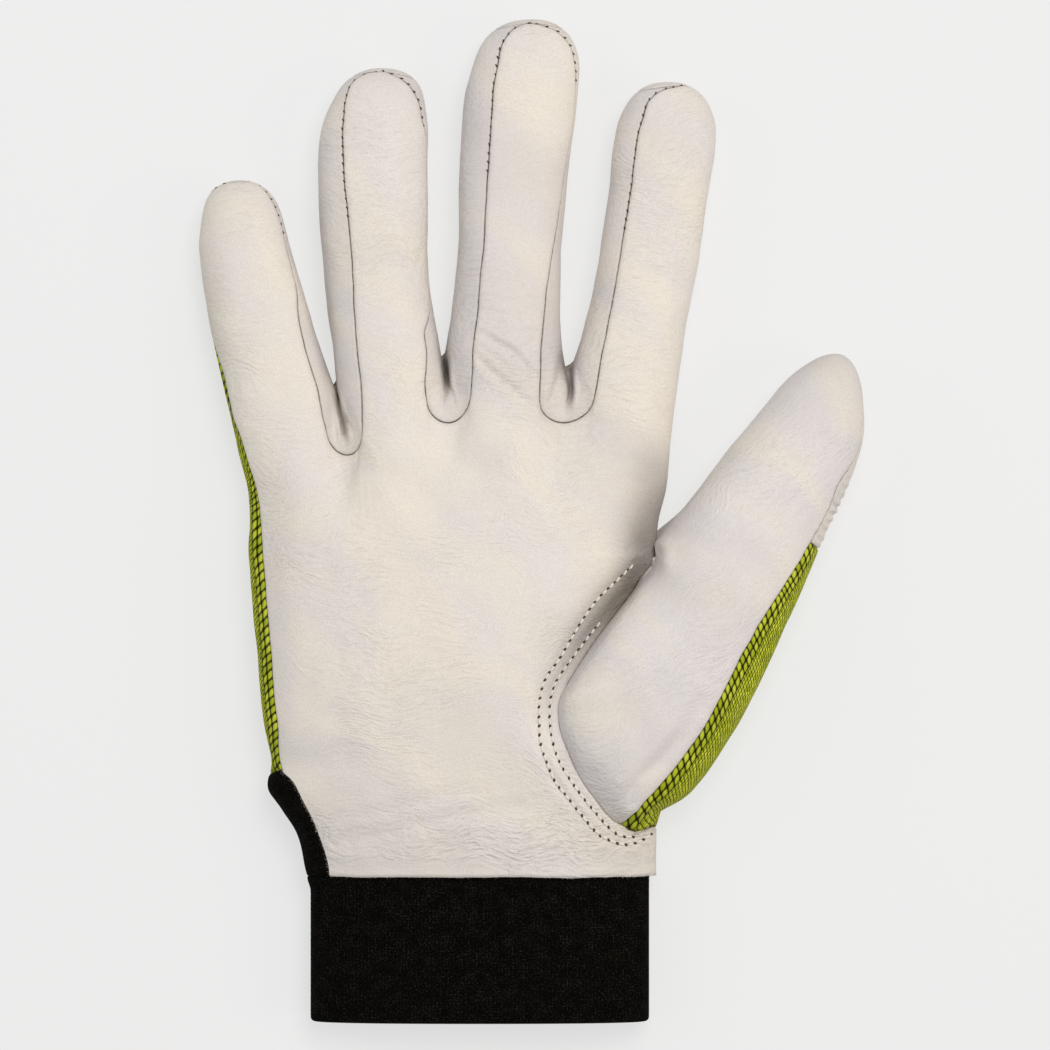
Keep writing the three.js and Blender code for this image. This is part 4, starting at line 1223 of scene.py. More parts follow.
# The points that the back of the hand rises to, each with its part across the back
back_top = []
for k, strip in enumerate(back_strips):
    part = k * (FINGER_PARTS + WEB_PARTS)
    back_top += [(point, part + FINGER_PARTS * t) for point, t in zip(strip[0], BACK_SHARES)]
    if k < len(WEBS):
        back_top += [(web_point(k, 1, turn), part + FINGER_PARTS + WEB_PARTS * turn)
                     for turn in even(WEB_STEPS)[1:-1]]
palm_left = [row[0] for row in palm_grid]
palm_right = [row[-1] for row in palm_grid]


def back_row(heights, left_angle, left_place, right_place):
    """A row across the back at a height for each column, between two given ends."""
    row = []
    for y, (point, part) in zip(heights, back_top):
        t = part / BACK_PARTS
        flat = (t - SIDE_SHARE) / (1 - SIDE_SHARE)
        if flat >= 0:
            left_x = hand_place(y, SIDE_TURN_ANGLE).x
            low = under_angle(y, lerp(left_x, hand_place(y, HAND_WRAP_ANGLE).x, flat))
        else:
            low = lerp(left_angle, SIDE_TURN_ANGLE, t / SIDE_SHARE)
        root = under_angle(point.y, point.x)
        row.append(hand_place(y, lerp(low, root, ease(y, ROOTS_FROM_Y, point.y))))
    return [left_place, *row[1:-1], right_place]


def finger_side_edge(column, finger, side, y):
    """The leather's edge from the last row of the hand up the side of an outer finger."""
    first, root = HAND_ROWS["left"][-1], ROOTS[column][0].y
    if y < root:
        return palm_place(LAST_ROW + (y - first) / (root - first), column)
    return finger_place(finger, y, seam_angle(finger, side, y))


back_grid = []
for i, place in enumerate(PALM_PLACES):
    left = read(HAND_ROWS, "left", place)
    right = read(HAND_ROWS, "back", place)
    left_angle, left_place = leather_left_angle(left), palm_left[i]
    right_place = palm_right[i]
    if place < GUSSET_TIP_ROW:
        left_angle = read(GUSSET_BACK, "angle", left)
        left_place = hand_place(left, left_angle)
    if BACK_SEAM_ROW < place < THUMB_CROTCH_ROW:
        right_place = hand_place(right, HAND_WRAP_ANGLE)
    heights = [lerp(left, right, part / BACK_PARTS) for _, part in back_top]
    back_grid.append(back_row(heights, left_angle, left_place, right_place))
back_right = [row[-1] for row in back_grid]
for i in range(1, RISE_STEPS):
    rise = i / RISE_STEPS
    heights = [lerp(HAND_ROWS["left"][-1], point.y, rise) for point, _ in back_top]
    left_place = finger_side_edge(0, FINGERS[0], "left", heights[0])
    right_place = finger_side_edge(-1, FINGERS[3], "right", heights[-1])
    row = back_row(heights, leather_left_angle(heights[0]), left_place, right_place)
    for j, (point, _) in enumerate(back_top[1:-1], 1):
        off = point - hand_place(point.y, under_angle(point.y, point.x))
        row[j] = row[j] + off * ease(rise, 0, 1)
    back_grid.append(row)
back_grid.append([point for point, _ in back_top])

# Yarn loops, in metres: the fine ones' size, the fat ones' width and height, the fat ones' band
FINE_LOOP = 1.1 * MM
FAT_LOOP = (1.9 * MM, 2.1 * MM)
FAT_BAND = 3.8 * MM


def yarn_loops(cloth, across, along, width, height, lean):
    """Yarn loops of one size: how high each stands, and its own random number."""
    u = across / width
    v = along / height + u.maths("FLOOR") * 0.5 + (u % 1.0) * lean
    ridge = ((u % 1.0) * math.pi).maths("SINE")
    swell = ((v % 1.0) * math.pi).maths("SINE")
    number = cloth.node("CombineXYZ", {}, {0: u.maths("FLOOR"), 1: v.maths("FLOOR")})
    tint = cloth.node("TexWhiteNoise", {"noise_dimensions": "2D"}, {"Vector": number})
    return (ridge * swell).maths("MAXIMUM", 0.0) ** 0.6, tint


def fabric_finish(name):
    """Woven stretch fabric: fat yarn loops in a band beside its seams, and finer ones past it, with
    painted shade in the gaps between loops.
    """
    cloth = Finish(name, Specular_IOR_Level=0.08)
    flat = cloth.node("UVMap", {"uv_map": "cloth"}, {})
    wander = cloth.noise(flat, 500.0, out=1)
    bent = cloth.node("VectorMath", {"operation": "MULTIPLY_ADD"},
                      {0: wander, 1: (0.0005, 0.0005, 0.0), 2: flat})
    across, along = cloth.parts(bent)
    fibre = cloth.noise(flat, 5200.0)
    fine, fine_tint = yarn_loops(cloth, across, along, FINE_LOOP, FINE_LOOP, 0.5)
    fat, fat_tint = yarn_loops(cloth, across, along, *FAT_LOOP, 0.6)
    beside = cloth.ramp(across, FAT_BAND, FAT_BAND + 0.2 * MM, 1.0, 0.0)
    loop = fine + (fat - fine) * beside
    tint = fine_tint + (fat_tint - fine_tint) * beside
    yarn = cloth.mix(tint, colour(176, 188, 26), colour(230, 236, 74))
    yarn = cloth.mix(fibre * (beside * 0.35 + 0.25), yarn, colour(104, 116, 16))
    # Painted shade: the gaps between the yarn loops are painted near black, and only the loops' tops
    # show the yarn.
    outside_painted_gap_shade = ((loop - beside * 0.18 - 0.1) * 2.0).maths("MAXIMUM", 0.0).maths("MINIMUM", 1.0)
    cloth.feed("Base Color", cloth.mix(outside_painted_gap_shade, colour(26, 32, 3), yarn))
    cloth.feed("Roughness", 0.85 - loop * 0.2)
    cloth.bump(loop * 0.55 + fibre * 0.08, 0.9, MM)
    return cloth.material


green_fabric = fabric_finish("green_fabric")

# Only the little finger's outer side lies beside a seam with fat loops.
# The cloth of the other fingers is laid this far, in mm, past the place where they would be.
FAR_INSET = 5.0
back_shape = bmesh.new()
back_uv = back_shape.loops.layers.uv.new("cloth")
lay_grid(back_shape, back_uv, back_grid, PALM_PLACES.index(float(GUSSET_TIP_ROW)),
         len(BACK_SHARES))
for k, strip in enumerate(back_strips):
    lay_grid(back_shape, back_uv, strip, inset=FAR_INSET if k else 0.0)
join_up(back_shape, turned=True)
make_piece("back_of_hand", back_shape, green_fabric, ["back_fabric"],
           wall=FABRIC_WALL, raw_edge=at_hem)

# The fingertip caps: small pieces of the hide over the backs of the four fingertips, sewn to the
# fabric behind them and to the finger fronts round the tip.
cap_hide = leather_finish("cap_hide", colour(228, 219, 206), colour(220, 214, 209))
CAP_LENGTH = 9
cap_places = [lerp(CAP_PLACE, 1, t) for t in seam_spaced(CAP_LENGTH, 1.2, last=False)]
for k, finger in enumerate(FINGERS):
    tops = dome_heights(finger, DOME_STEPS)
    seam_top = arch_height(finger, 90)
    tops += [seam_top + finger["seam_back"] * math.sin(math.pi / 2 * t) for t in even(6)]
    cap_shape = panel(finger_back(k, FINGER_SHARES, cap_places, tops), turned=True)
    make_piece("fingertip_cap_" + finger["name"], cap_shape, cap_hide,
               ["fingertip_back_" + finger["name"]], wall=LEATHER_WALL)

# The thumb's front: a separate piece of hide, set into the palm's hole and closed round the thumb's
# inner side. It runs from a point at the heel up over the tip.
THUMB_ROOT = Vector((16.8, -56.0, 0))
THUMB_TURN = math.radians(33.6)
THUMB_TIP = 114.8
THUMB_DOME = 18.0
THUMB_UNDER_ANGLE = 206
THUMB_WIDTH = 46
THUMB_SHARES = seam_spaced(THUMB_WIDTH, 1.3)
# A row is drawn to the place its end must meet from this share of the way, later near the crotch
DRAWN_FROM = 0.3
DRAWN_FROM_AT_CROTCH = 0.82
NEAR_CROTCH_ROWS = (15.5, 17.5)
THUMB = table(
    "along left right mid top",
    (-14.0, 4.0, 20.5, 11.0, 22.5),
    (-8.0, -5.0, 22.4, 11.5, 26.0),
    (0.0, -13.6, 24.9, 12.0, 29.5),
    (10.0, -16.4, 25.8, 12.0, 31.4),
    (25.0, -16.8, 25.6, 12.0, 32.2),
    (40.0, -16.6, 23.8, 12.0, 31.4),
    (52.0, -16.4, 21.7, 12.0, 29.8),
    (62.0, -15.5, 20.0, 11.8, 28.2),
    (78.0, -14.3, 17.1, 11.2, 25.8),
    (95.0, -12.5, 14.2, 10.4, 23.2),
    (114.8, -11.8, 6.6, 9.0, 19.4),
)
THUMB_SEAM = table(
    "along angle",
    (-14.0, 60),
    (-8.0, 59),
    (5.0, 55),
    (20.0, 53),
    (35.0, 55),
    (53.0, 50),
    (70.0, 37),
    (80.0, 33),
    (87.5, 38),
    (96.0, 22),
    (114.8, 20),
)


def thumb_place(along, angle):
    share = min(max(1 - (THUMB_TIP - along) / THUMB_DOME, 0.0), 1.0)
    across, up = on_section(section_at(THUMB, along), angle, math.sqrt(1 - share * share))
    sin, cos = math.sin(THUMB_TURN), math.cos(THUMB_TURN)
    return Vector((THUMB_ROOT.x + along * sin + across * cos,
                   THUMB_ROOT.y + along * cos - across * sin, up))


def from_thumb_root(point):
    x, y = point.x - THUMB_ROOT.x, point.y - THUMB_ROOT.y
    sin, cos = math.sin(THUMB_TURN), math.cos(THUMB_TURN)
    return x * sin + y * cos, x * cos - y * sin


def thumb_row(start, end, drawn_from=DRAWN_FROM):
    """A row over or under the thumb. Each end is how far along, an angle, and a place it must meet."""
    row = []
    for t in THUMB_SHARES:
        point = thumb_place(lerp(start[0], end[0], t), lerp(start[1], end[1], t))
        for (along, angle, meet), near in ((start, 1 - t), (end, t)):
            if meet is not None:
                point = point + (meet - thumb_place(along, angle)) * ease(near, drawn_from, 1)
        row.append(point)
    return row


def seam_end(along):
    return along, read(THUMB_SEAM, "angle", along), None


def left_end_angle(row):
    hole = HAND_ROWS["hole"][row]
    if hole is None:
        return THUMB_UNDER_ANGLE
    if isinstance(hole, str):
        return 180
    along, across = from_thumb_root(palm_place(row, len(ROOTS) - 1))
    return angle_across(section_at(THUMB, along), across)


THUMB_ROWS = table(
    "row left_angle seam",
    *((row, left_end_angle(row), HAND_ROWS["seam"][row])
      for row in range(THUMB_CORNER_ROW + 1, THUMB_CROTCH_ROW + 1)),
)
# Past the crotch the rows run right round the thumb, from the first station up over the tip
STATIONS_FROM = 61
thumb_stations = [lerp(STATIONS_FROM, THUMB_TIP - THUMB_DOME, t) for t in even(90)]
thumb_stations += [THUMB_TIP - THUMB_DOME + THUMB_DOME * math.sin(math.pi / 2 * t)
                   for t in even(22)[1:]]
CROTCH_ALONG = 55
CROTCH_STEPS = 7


def thumb_front_row(place, index):
    edge = palm_right[index]
    start = (from_thumb_root(edge)[0], read(THUMB_ROWS, "left_angle", place), edge)
    drawn_from = lerp(DRAWN_FROM, DRAWN_FROM_AT_CROTCH, ease(place, *NEAR_CROTCH_ROWS))
    return thumb_row(start, seam_end(read(THUMB_ROWS, "seam", place)), drawn_from)


def front_ends(along, seam_along):
    return (along, THUMB_UNDER_ANGLE, None), seam_end(seam_along)


def round_rows(stations, ends):
    return [thumb_row(*ends(along, along)) for along in stations]


def crotch_rows(last, place, ends):
    """Rows from the last one at the palm, which ends at a place there, to the first station.

    What sets the last row off from a plain one fades out over them.
    """
    far = from_thumb_root(place)[0]
    plain = thumb_row(*ends(far, CROTCH_ALONG))
    rows = []
    for t in even(CROTCH_STEPS)[1:-1]:
        row = thumb_row(*ends(lerp(far, STATIONS_FROM, t), lerp(CROTCH_ALONG, STATIONS_FROM, t)))
        rows.append([p + (q - b) * (1 - t) for p, q, b in zip(row, last, plain)])
    return rows


def lead_in(rows):
    """Rows from the corner of the hole that open out to the thumb's first whole row."""
    corner, first = (PALM_PLACES.index(float(THUMB_CORNER_ROW + i)) for i in (0, 1))
    made = []
    for index in range(corner, first):
        t = (index - corner) / (first - corner)
        row = [palm_right[corner].lerp(point, t) for point in rows[0]]
        off = palm_right[index] - row[0]
        made.append([point + off * (1 - s) ** 3 for point, s in zip(row, THUMB_SHARES)])
    return made


# The places of whole rows at the palm, each with its order on the palm's edge
rows_at_palm = [(place, index) for index, place in enumerate(PALM_PLACES)
                if THUMB_CORNER_ROW + 1 <= place <= THUMB_CROTCH_ROW]
thumb_grid = [thumb_front_row(place, index) for place, index in rows_at_palm]
thumb_grid = lead_in(thumb_grid) + thumb_grid
thumb_grid += crotch_rows(thumb_grid[-1], thumb_grid[-1][0], front_ends)
thumb_grid += round_rows(thumb_stations, front_ends)

# Between thumb and palm the front is smoothed, clear of the seam, as far as this from its middle
CROTCH_MIDDLE = (36.0, -13.0)
CROTCH_REACH = 12.0
SEAM_CLEAR = 3.0
SMOOTHINGS = 40
# The thumb's hide is painted darker toward its tip: the middle, how wide and tall, and how much.
THUMB_SHADES = [(75.0, 40.0, 15.0, 14.0, 0.26)]
THUMB_CREASES = [
    (1.5, 1.0, (41.8, -44.0), (36.3, -52.9), (31.4, -59.1), (27.2, -62.8), (21.0, -71.0)),
]
thumb_hide = leather_finish("thumb_hide", colour(228, 221, 211), colour(221, 215, 214),
                            grain_turn=0.6)
thumb_shape = panel(thumb_grid)
at_crotch = [vertex for vertex in thumb_shape.verts
             if (vertex.co.xy - Vector(CROTCH_MIDDLE) * MM).length < CROTCH_REACH * MM
             and hole_tree.find((*vertex.co.xy / MM, 0))[2] > SEAM_CLEAR]
for _ in range(SMOOTHINGS):
    bmesh.ops.smooth_vert(thumb_shape, verts=at_crotch, factor=0.5, use_axis_x=True,
                          use_axis_y=True, use_axis_z=True)
press(thumb_shape, THUMB_CREASES, THUMB_SHADES, PALM_SIDE_FROM, THUMB_SINK_REACH)
make_piece("thumb_front", thumb_shape, thumb_hide, ["thumb_front_leather"],
           wall=LEATHER_WALL)

# The thumb's fabric: the same green stretch fabric, from the thumb front's outer seam round and
# under the thumb to the back's seam. It starts along the lower edge of the palm's hole.
THUMB_CAP_START = 71
FOOT_STEPS = 4
# The hole's lower edge runs along the hand for this share of it, then turns to the back's seam
HOLE_TURN = 4 / 7


def hole_foot(t):
    """A place on the lower edge of the thumb hole, from its corner round to the back's seam."""
    if t < HOLE_TURN:
        row = lerp(THUMB_CORNER_ROW, BACK_SEAM_ROW + 1, t / HOLE_TURN)
    else:
        row = lerp(BACK_SEAM_ROW + 1, BACK_SEAM_ROW, (t - HOLE_TURN) / (1 - HOLE_TURN))
    return palm_place(row, len(ROOTS) - 1)


def thumb_fabric_row(place, index):
    meet = back_right[index]
    along, across = from_thumb_root(meet)
    end = (along, angle_under(section_at(THUMB, along), across, 0.9), meet)
    return thumb_row(seam_end(read(THUMB_ROWS, "seam", place)), end)


def fabric_ends(along, seam_along):
    return seam_end(seam_along), (along, THUMB_UNDER_ANGLE - 360, None)


fabric_rows = [thumb_fabric_row(place, index) for place, index in rows_at_palm]
foot = [hole_foot(t) for t in THUMB_SHARES]
foot_rows = [[a.lerp(b, t) for a, b in zip(foot, fabric_rows[0])] for t in even(FOOT_STEPS)[:-1]]
fabric_rows = foot_rows + fabric_rows
crotch_end = back_right[PALM_PLACES.index(float(THUMB_CROTCH_ROW))]
fabric_rows += crotch_rows(fabric_rows[-1], crotch_end, fabric_ends)
fabric_rows += round_rows([*(a for a in thumb_stations if a < THUMB_CAP_START), THUMB_CAP_START],
                          fabric_ends)
make_piece("thumb_fabric", panel(fabric_rows), green_fabric,
           ["thumb_back_fabric"], wall=FABRIC_WALL)

# The thumb's leather cap: hide over the back of the thumb's tip, gathered where it is sewn to the
# front. It meets the fabric across the back of the thumb.
GATHER_PITCH = 2.3
GATHER_HEIGHT = 0.34
GATHERS_BEGIN = (THUMB_CAP_START, 74)
GATHERS_END = (86, 93)
cap_rows = round_rows([THUMB_CAP_START, *(a for a in thumb_stations if a > THUMB_CAP_START)],
                      fabric_ends)
thumb_cap_shape = panel(cap_rows)
thumb_cap_shape.normal_update()
for vertex in thumb_cap_shape.verts:
    along, _ = from_thumb_root(vertex.co / MM)
    gathered = ease(along, *GATHERS_BEGIN) * (1 - ease(along, *GATHERS_END))
    wave = math.sin(2 * math.pi * along / GATHER_PITCH + 2.5 * noise.noise(vertex.co * 300))
    height = GATHER_HEIGHT * max(0.0, 0.6 + noise.noise(vertex.co * 160 + Vector((3, 0, 0))))
    vertex.co += vertex.normal * wave * gathered * height * MM
make_piece("thumb_cap", thumb_cap_shape, cap_hide, ["thumb_tip_back"],
           wall=LEATHER_WALL)

# The gusset: a wedge of fine black stretch knit between palm and back on the little-finger side,
# so the wrist can open. It comes out from under the leather's raw edge.
GUSSET_WIDTH = 14
GUSSET_SHARES = seam_spaced(GUSSET_WIDTH, 1.0)
RIB_PITCH = 0.9


def knit_finish(name, ribs):
    """Fine black elastic knit with faint ribs and small pale specks of fibre."""
    knit = Finish(name, Specular_IOR_Level=0.04)
    flat = knit.node("UVMap", {"uv_map": "cloth"}, {})
    across, along = knit.parts(flat)
    rib = (across * (2 * math.pi / ribs)).maths("SINE") * 0.5 + 0.5
    stitch = (along * (2 * math.pi / (ribs * 0.8))).maths("SINE") * 0.5 + 0.5
    fuzz = knit.noise(flat, 2400.0)
    cloudy = knit.noise(flat, 300.0)
    specks = knit.ramp(fuzz + (cloudy - 0.5) * 0.25, 0.5, 0.72)
    shown = specks * (0.35 + rib * stitch * 0.65)
    knit.feed("Base Color", knit.mix(shown, colour(3, 3, 2), colour(52, 46, 40)))
    knit.feed("Roughness", 0.88 + fuzz * 0.1)
    knit.bump(rib * 0.14 + stitch * 0.06 + fuzz * 0.1, 0.8, MM)
    return knit.material


black_knit = knit_finish("black_knit", RIB_PITCH * MM)
gusset_grid = []
for i, place in enumerate(PALM_PLACES):
    if place > GUSSET_TIP_ROW:
        break
    left = read(HAND_ROWS, "left", place)
    leather_angle = leather_left_angle(left)
    fabric_angle = leather_angle
    if place < GUSSET_TIP_ROW:
        fabric_angle = read(GUSSET_BACK, "angle", left)
    row = [hand_place(left, lerp(leather_angle, fabric_angle, t)) for t in GUSSET_SHARES]
    gusset_grid.append([palm_left[i], *row[1:-1], back_grid[i][0]])
make_piece("gusset", panel(gusset_grid, turned=True), black_knit,
           ["wrist_gusset"], wall=FABRIC_WALL, raw_edge=at_hem)

# The cuff: a doubled band of the black elastic knit. Its upper end slips under the leather's hem,
# the lower end is folded over and rests on the surface.
CUFF_STEPS = 180
CUFF_INSET = 1.75
KNIT_WALL = 2.2
CUFF_TOP = -83.5
CUFF_END = -123.8
FOLD_FROM = -123.95
# On its left the cuff stands out from under the hem by this much, and by more right at its top
CUFF_LEFT_EASE = 0.9
CUFF_LEFT_TOP = 0.8
# Past the hem it sinks until it rests on the surface
CUFF_SINKS = (88.7, 92.5)
cuff_rest = section_at(HAND, CUFF_TOP)[3] - CUFF_INSET
fold = KNIT_WALL / 2
# Down the outer side, round the fold and up the inner side: how far along, and how deep inside
cuff_profile = [(CUFF_TOP, 0.0), (-86.0, 0.0), (-88.0, 0.0)]
cuff_profile += [(lerp(-89.0, CUFF_END, t), 0.0) for t in even(36)]
cuff_profile += [(FOLD_FROM - fold * math.sin(math.pi * t), fold * (1 - math.cos(math.pi * t)))
                 for t in even(10)[1:]]
cuff_profile += [(lerp(CUFF_END, CUFF_TOP, t), KNIT_WALL) for t in even(20)[1:]]


def cuff_row(y, depth):
    """A ring of the cuff."""
    left, right, mid, top = section_at(HAND, y)
    left -= CUFF_LEFT_EASE + CUFF_LEFT_TOP * ease(-y, 88.4, 88.9) * (1 - ease(-y, 89, 92.5))
    inset = CUFF_INSET + depth
    half = (right - left) / 2 - inset
    row = []
    for j in range(CUFF_STEPS + 1):
        turn = math.radians(360 * (j % CUFF_STEPS) / CUFF_STEPS)
        cos, sin = math.cos(turn), math.sin(turn)
        power = 2 / (ARCH_POWER if sin >= 0 else BASE_POWER)
        x = (right + left) / 2 + math.copysign(half * abs(cos) ** power, cos)
        if sin >= 0:
            up = mid + (top - mid - inset) * abs(sin) ** power
        else:
            up = mid - min((mid * BASE_PRESS - inset) * abs(sin) ** power, mid - inset)
        rested = (up - CUFF_INSET) * cuff_rest / (cuff_rest - CUFF_INSET)
        row.append(Vector((x, y, lerp(up, rested, ease(-y, *CUFF_SINKS)))))
    return row


cuff_grid = [cuff_row(y, depth) for y, depth in cuff_profile]
cuff_shape = panel(cuff_grid + [cuff_grid[0]])
bmesh.ops.recalc_face_normals(cuff_shape, faces=cuff_shape.faces)
make_piece("knit_cuff", cuff_shape, black_knit, ["cuff"])

# The seams: the panels are sewn together inside out, so at every seam both edges turn in and meet
# at the bottom of a narrow groove. The hem and the edge over the gusset are left as they were cut.
SEAM_SHOULDER = 0.8
GROOVE_DEPTH = 0.6
EDGE_PITCH = 0.2
# How near another panel's edge must be to be met, and how far in from an edge the panel is drawn
# toward it and its seam is marked
MEET_REACH = 2.5
PULL_REACH = 3
MARK_REACH = 4
# The palm's edge beside the thumb is rounder, so its groove is marked less
SOFT_EDGE_X = (0, 22)
SOFT_EDGE_Y = (-79.0, -41.0)
SOFT_EDGE_ABOVE = 14
SOFT_MARK = 0.6
# The seam on the little-finger side is drawn in where the gusset's tip ends
NOTCH_LEFT_OF = -60
NOTCH_AT = -62.2
NOTCH_REACH = 0.9
NOTCH_DEPTH = 1.1


def edge_points(shape, raw_edge):
    """Close-set points along a panel's sewn edges, each with the way the panel faces there."""
    points = []
    for edge in shape.edges:
        a, b = edge.verts
        if not edge.is_boundary or raw_edge((a.co + b.co) / 2):
            continue
        count = max(1, round((b.co - a.co).length / (EDGE_PITCH * MM)))
        points += [(a.co.lerp(b.co, i / count), a.normal.lerp(b.normal, i / count))
                   for i in range(count)]
    return points


def point_tree(points):
    tree = kdtree.KDTree(len(points))
    for i, (place, _) in enumerate(points):
        tree.insert(place, i)
    tree.balance()
    return tree


def pulls_toward(own, others):
    """For each point of a panel's edge, half the way to the edge it meets, and the way in."""
    tree = point_tree(others)
    pulls = []
    for place, facing in own:
        _, i, distance = tree.find(place)
        meet, inward = Vector(), -facing
        if distance < MEET_REACH * MM:
            meet = (others[i][0] - place) / 2
            inward = -(facing + others[i][1])
        pulls.append((meet, inward.normalized() if inward.length > 0.2 else -facing))
    return pulls


def turn_in(shape, own, pulls):
    """Draws a panel to the edges it meets, turns its own edges in, and marks them as seams."""
    tree = point_tree(own)
    mark = shape.verts.layers.float.new("seam")
    for vertex in shape.verts:
        _, i, distance = tree.find(vertex.co)
        distance /= MM
        meet, inward = pulls[i]
        x, y, z = (part / MM for part in own[i][0])
        vertex[mark] = max(0.0, 1 - distance / MARK_REACH)
        if SOFT_EDGE_Y[0] < y < SOFT_EDGE_Y[1] and SOFT_EDGE_X[0] < x < SOFT_EDGE_X[1]:
            vertex[mark] *= SOFT_MARK if z > SOFT_EDGE_ABOVE else 1
        uneven = 1 + 0.35 * noise.noise(vertex.co * 380)
        if x < NOTCH_LEFT_OF:
            uneven += NOTCH_DEPTH * math.exp(-((y - NOTCH_AT) / NOTCH_REACH) ** 2)
        curl = max(0.0, 1 - distance / (SEAM_SHOULDER * uneven))
        depth = GROOVE_DEPTH * uneven * (1 - math.sqrt(1 - curl * curl))
        vertex.co += meet * max(0.0, 1 - distance / PULL_REACH) ** 2 + inward * depth * MM
    shape.normal_update()


def thin_sharp_folds(shape):
    """Makes the wall thin where a fold is sharp, so that it can't run through itself."""
    walls = shape.verts.layers.deform.verify()
    for vertex in shape.verts:
        steady = min((vertex.normal.dot(face.normal) for face in vertex.link_faces), default=0)
        vertex[walls][0] = ease(steady, 0.2, 0.7)


panel_shapes = []
for piece, raw_edge in sewn_panels:
    shape = bmesh.new()
    shape.from_mesh(piece.data)
    shape.normal_update()
    panel_shapes.append((piece, shape, edge_points(shape, raw_edge)))
for piece, shape, own in panel_shapes:
    others = [point for other, _, points in panel_shapes if other is not piece for point in points]
    turn_in(shape, own, pulls_toward(own, others))
    thin_sharp_folds(shape)
    shape.to_mesh(piece.data)
for _, shape, _ in panel_shapes:
    shape.free()

# The stitches: two rows of pale thread that hold the palm to the thumb, each stitch ending at a needle
# hole drawn as a dark mark of painted shade, and the brown thread that shows in the seams of the
# fingertips.
STITCH_PITCH = 2.3
STITCH_LIFT = 0.16
THREAD_HALF = (0.33, 0.84, 0.29)
HOLE_HALF = (0.36, 0.52, 0.14)
HOLE_SLANT = 0.6
LINE_PARTS = 20
TIP_PITCH = 2.2
TIP_SLANT = 0.8
TIP_SINK = 0.12
TIP_THREAD_HALF = (0.2, 0.5, 0.16)
# On a fingertip they start this far below its dome on each side, and end this far from its tip
TIP_STITCH_REACH = {"left": 24, "right": 1}
TIP_STITCH_END = 0.6


def spaced_along(points, pitch):
    """Places a pitch apart on a smooth line through points, each with the way the line heads."""
    rows = table("at x y", *((i, *point) for i, point in enumerate(points)))
    line = [Vector((read(rows, "x", i / LINE_PARTS), read(rows, "y", i / LINE_PARTS), 0))
            for i in range(LINE_PARTS * (len(points) - 1) + 1)]
    places, run = [], 0.0
    for a, b in zip(line, line[1:]):
        run += (b - a).length
        if run >= pitch * len(places):
            places.append((b, (b - a).normalized()))
    return places


def add_stitch(shape, place, heading, facing, half):
    """One stitch or needle hole: a small ellipsoid that lies on a surface, along a heading."""
    side = heading.cross(facing).normalized()
    ahead = facing.cross(side).normalized()
    turn = Matrix((side, ahead, facing)).transposed().to_4x4()
    size = Matrix.Diagonal((*(h * MM for h in half), 1))
    bmesh.ops.create_uvsphere(shape, u_segments=8, v_segments=6, radius=1,
                              matrix=Matrix.Translation(place) @ turn @ size)


def seam_place(finger, side, y):
    return finger_place(finger, y, seam_angle(finger, side, y))


thread_finish = Finish("pale_thread", Roughness=0.7, Specular_IOR_Level=0.3)
strands = thread_finish.noise(thread_finish.node("TexCoord", {}, {}, out=3), 3800.0, detail=1.0)
thread_tone = thread_finish.mix(strands, colour(198, 192, 180), colour(246, 242, 233))
thread_finish.feed("Base Color", thread_tone)
thread_finish.bump(strands, 0.6, 0.15 * MM)
# The needle holes are dark marks of painted shade; the same dark finish is the fingertips' brown
# thread.
hole_shade_and_thread_finish = Finish("needle_hole_shade_and_brown_thread", Roughness=0.9, Specular_IOR_Level=0.1)
depths = hole_shade_and_thread_finish.noise(hole_shade_and_thread_finish.node("TexCoord", {}, {}, out=3), 900.0)
hole_shade_and_thread_finish.feed("Base Color", hole_shade_and_thread_finish.mix(depths, colour(44, 38, 33), colour(96, 86, 76)))

top = BVHTree.FromPolygons([v.co.copy() for v in palm.data.vertices],
                           [tuple(face.vertices) for face in palm.data.polygons])
threads, hole_shade_marks = bmesh.new(), bmesh.new()
for line in (OUTER_STITCHES, INNER_STITCHES):
    for spot, heading in spaced_along(line, STITCH_PITCH):
        for ahead, shape, half in ((0.0, threads, THREAD_HALF), (STITCH_PITCH / 2, hole_shade_marks, HOLE_HALF)):
            x, y, _ = (spot + heading * ahead) * MM
            hit, facing, _, _ = top.ray_cast(Vector((x, y, 0.1)), Vector((0, 0, -1)))
            if hit is not None and facing.z > 0.2:
                lift, slant = (STITCH_LIFT, 0.0) if shape is threads else (0.0, HOLE_SLANT)
                across = heading.cross(facing) * slant
                add_stitch(shape, hit + facing * lift * MM, heading + across, facing, half)
tips = bmesh.new()
for finger in FINGERS:
    for side in ("left", "right"):
        y = finger["tip"] - finger["dome"] - TIP_STITCH_REACH[side]
        while y < finger["tip"] - TIP_STITCH_END:
            angle = seam_angle(finger, side, y)
            spot = finger_place(finger, y, angle)
            ahead = (seam_place(finger, side, y + 0.3) - spot).normalized()
            around = finger_place(finger, y, angle + 2) - finger_place(finger, y, angle - 2)
            facing = ahead.cross(around).normalized()
            if facing.dot(spot - finger_place(finger, y, angle + 180)) < 0:
                facing = -facing
            slant = (ahead + TIP_SLANT * facing.cross(ahead)).normalized()
            add_stitch(tips, (spot - facing * TIP_SINK) * MM, slant, facing, TIP_THREAD_HALF)
            step = seam_place(finger, side, y + 0.2) - spot
            y += max(0.05, 0.2 * TIP_PITCH / step.length)
make_piece("thumb_stitches", threads, thread_finish.material)
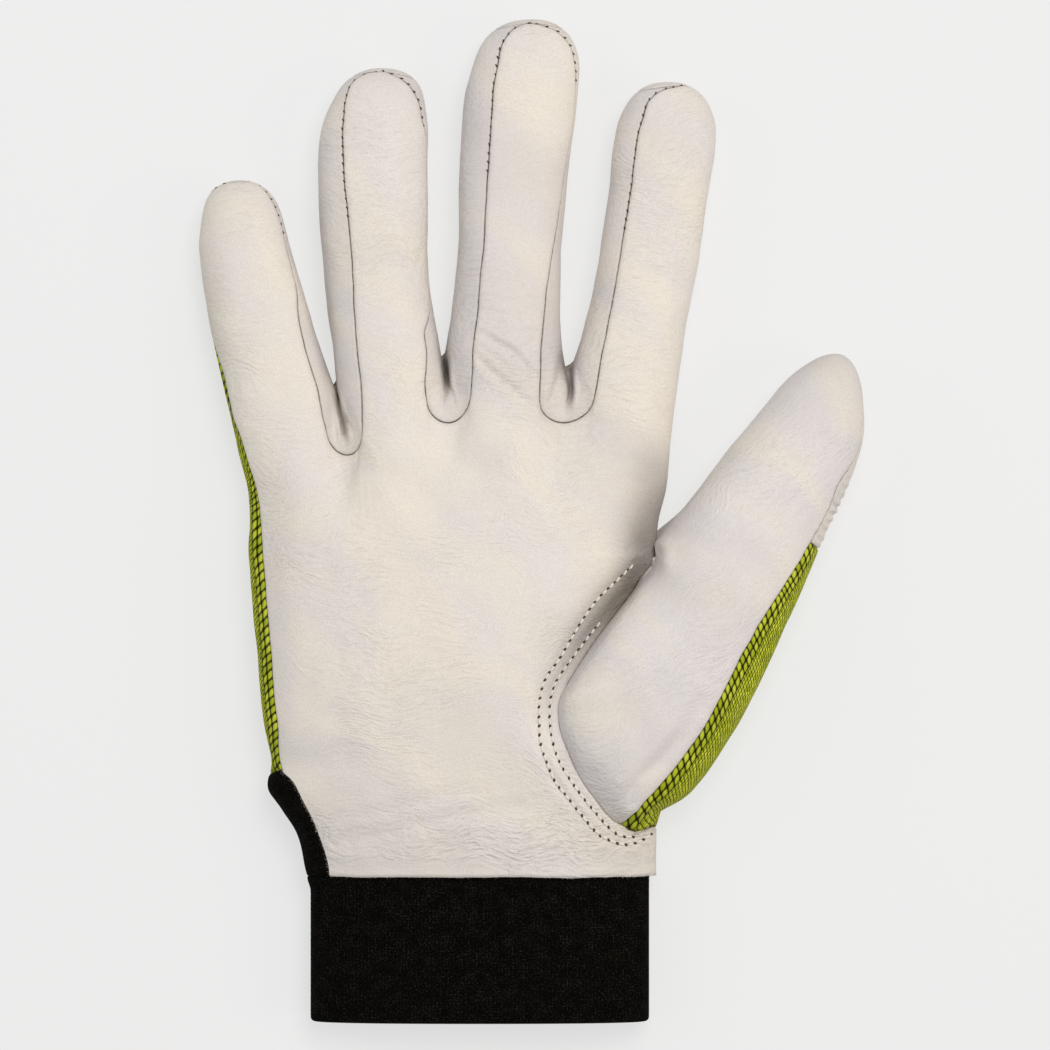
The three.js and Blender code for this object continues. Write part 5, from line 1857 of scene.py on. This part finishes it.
make_piece("thumb_needle_hole_shade", hole_shade_marks, hole_shade_and_thread_finish.material)
make_piece("tip_stitches", tips, hole_shade_and_thread_finish.material)

# The raw edge: over the gusset and at the hem the hide is only cut, so short fibres stand out of it.
FIBRE_PITCH = 0.14
FIBRE_RADIUS = 0.05
# At the hem they stand out toward the cuff, fewer and shorter, and over the gusset to its side
HEM_EDGE_BELOW = -88.0
HEM_WAY = Vector((0, -1, 0))
SIDE_WAY = Vector((-0.9, -0.35, 0.1))
HEM_SPARSE = 6
HEM_SHORT = 0.6
fibre_finish = Finish("raw_hide_fibres", Roughness=0.95, Specular_IOR_Level=0.1)
spread = fibre_finish.noise(fibre_finish.node("TexCoord", {}, {}, out=3), 1500.0)
fibre_tone = fibre_finish.mix(spread, colour(150, 142, 134), colour(228, 220, 210))
fibre_finish.feed("Base Color", fibre_tone)
random.seed(11)
cut_edge = bmesh.new()
cut_edge.from_mesh(palm.data)
fibres = bmesh.new()
for edge in cut_edge.edges:
    a, b = (vertex.co for vertex in edge.verts)
    if not edge.is_boundary or not palm_raw_edge((a + b) / 2) or a.z < 7 * MM:
        continue
    hem = max(a.y, b.y) < HEM_EDGE_BELOW * MM
    pitch = FIBRE_PITCH * (HEM_SPARSE if hem else 1) * MM
    for _ in range(int((b - a).length / pitch + random.random())):
        root = a.lerp(b, random.random())
        root.z -= random.random() * LEATHER_WALL * 0.6 * MM
        lean = Vector((random.uniform(-1, 1), random.uniform(-1, 1), random.uniform(-0.6, 0.8)))
        way = ((HEM_WAY if hem else SIDE_WAY) + 0.8 * lean).normalized()
        length = random.uniform(0.3, 0.9) * (HEM_SHORT if hem else 1) * MM
        turn = way.to_track_quat("Z", "Y").to_matrix().to_4x4()
        bmesh.ops.create_cone(fibres, cap_ends=True, cap_tris=True, segments=3, depth=length,
                              radius1=FIBRE_RADIUS * MM, radius2=FIBRE_RADIUS * 0.3 * MM,
                              matrix=Matrix.Translation(root + way * length * 0.4) @ turn)
cut_edge.free()
make_piece("raw_edge_fibres", fibres, fibre_finish.material)
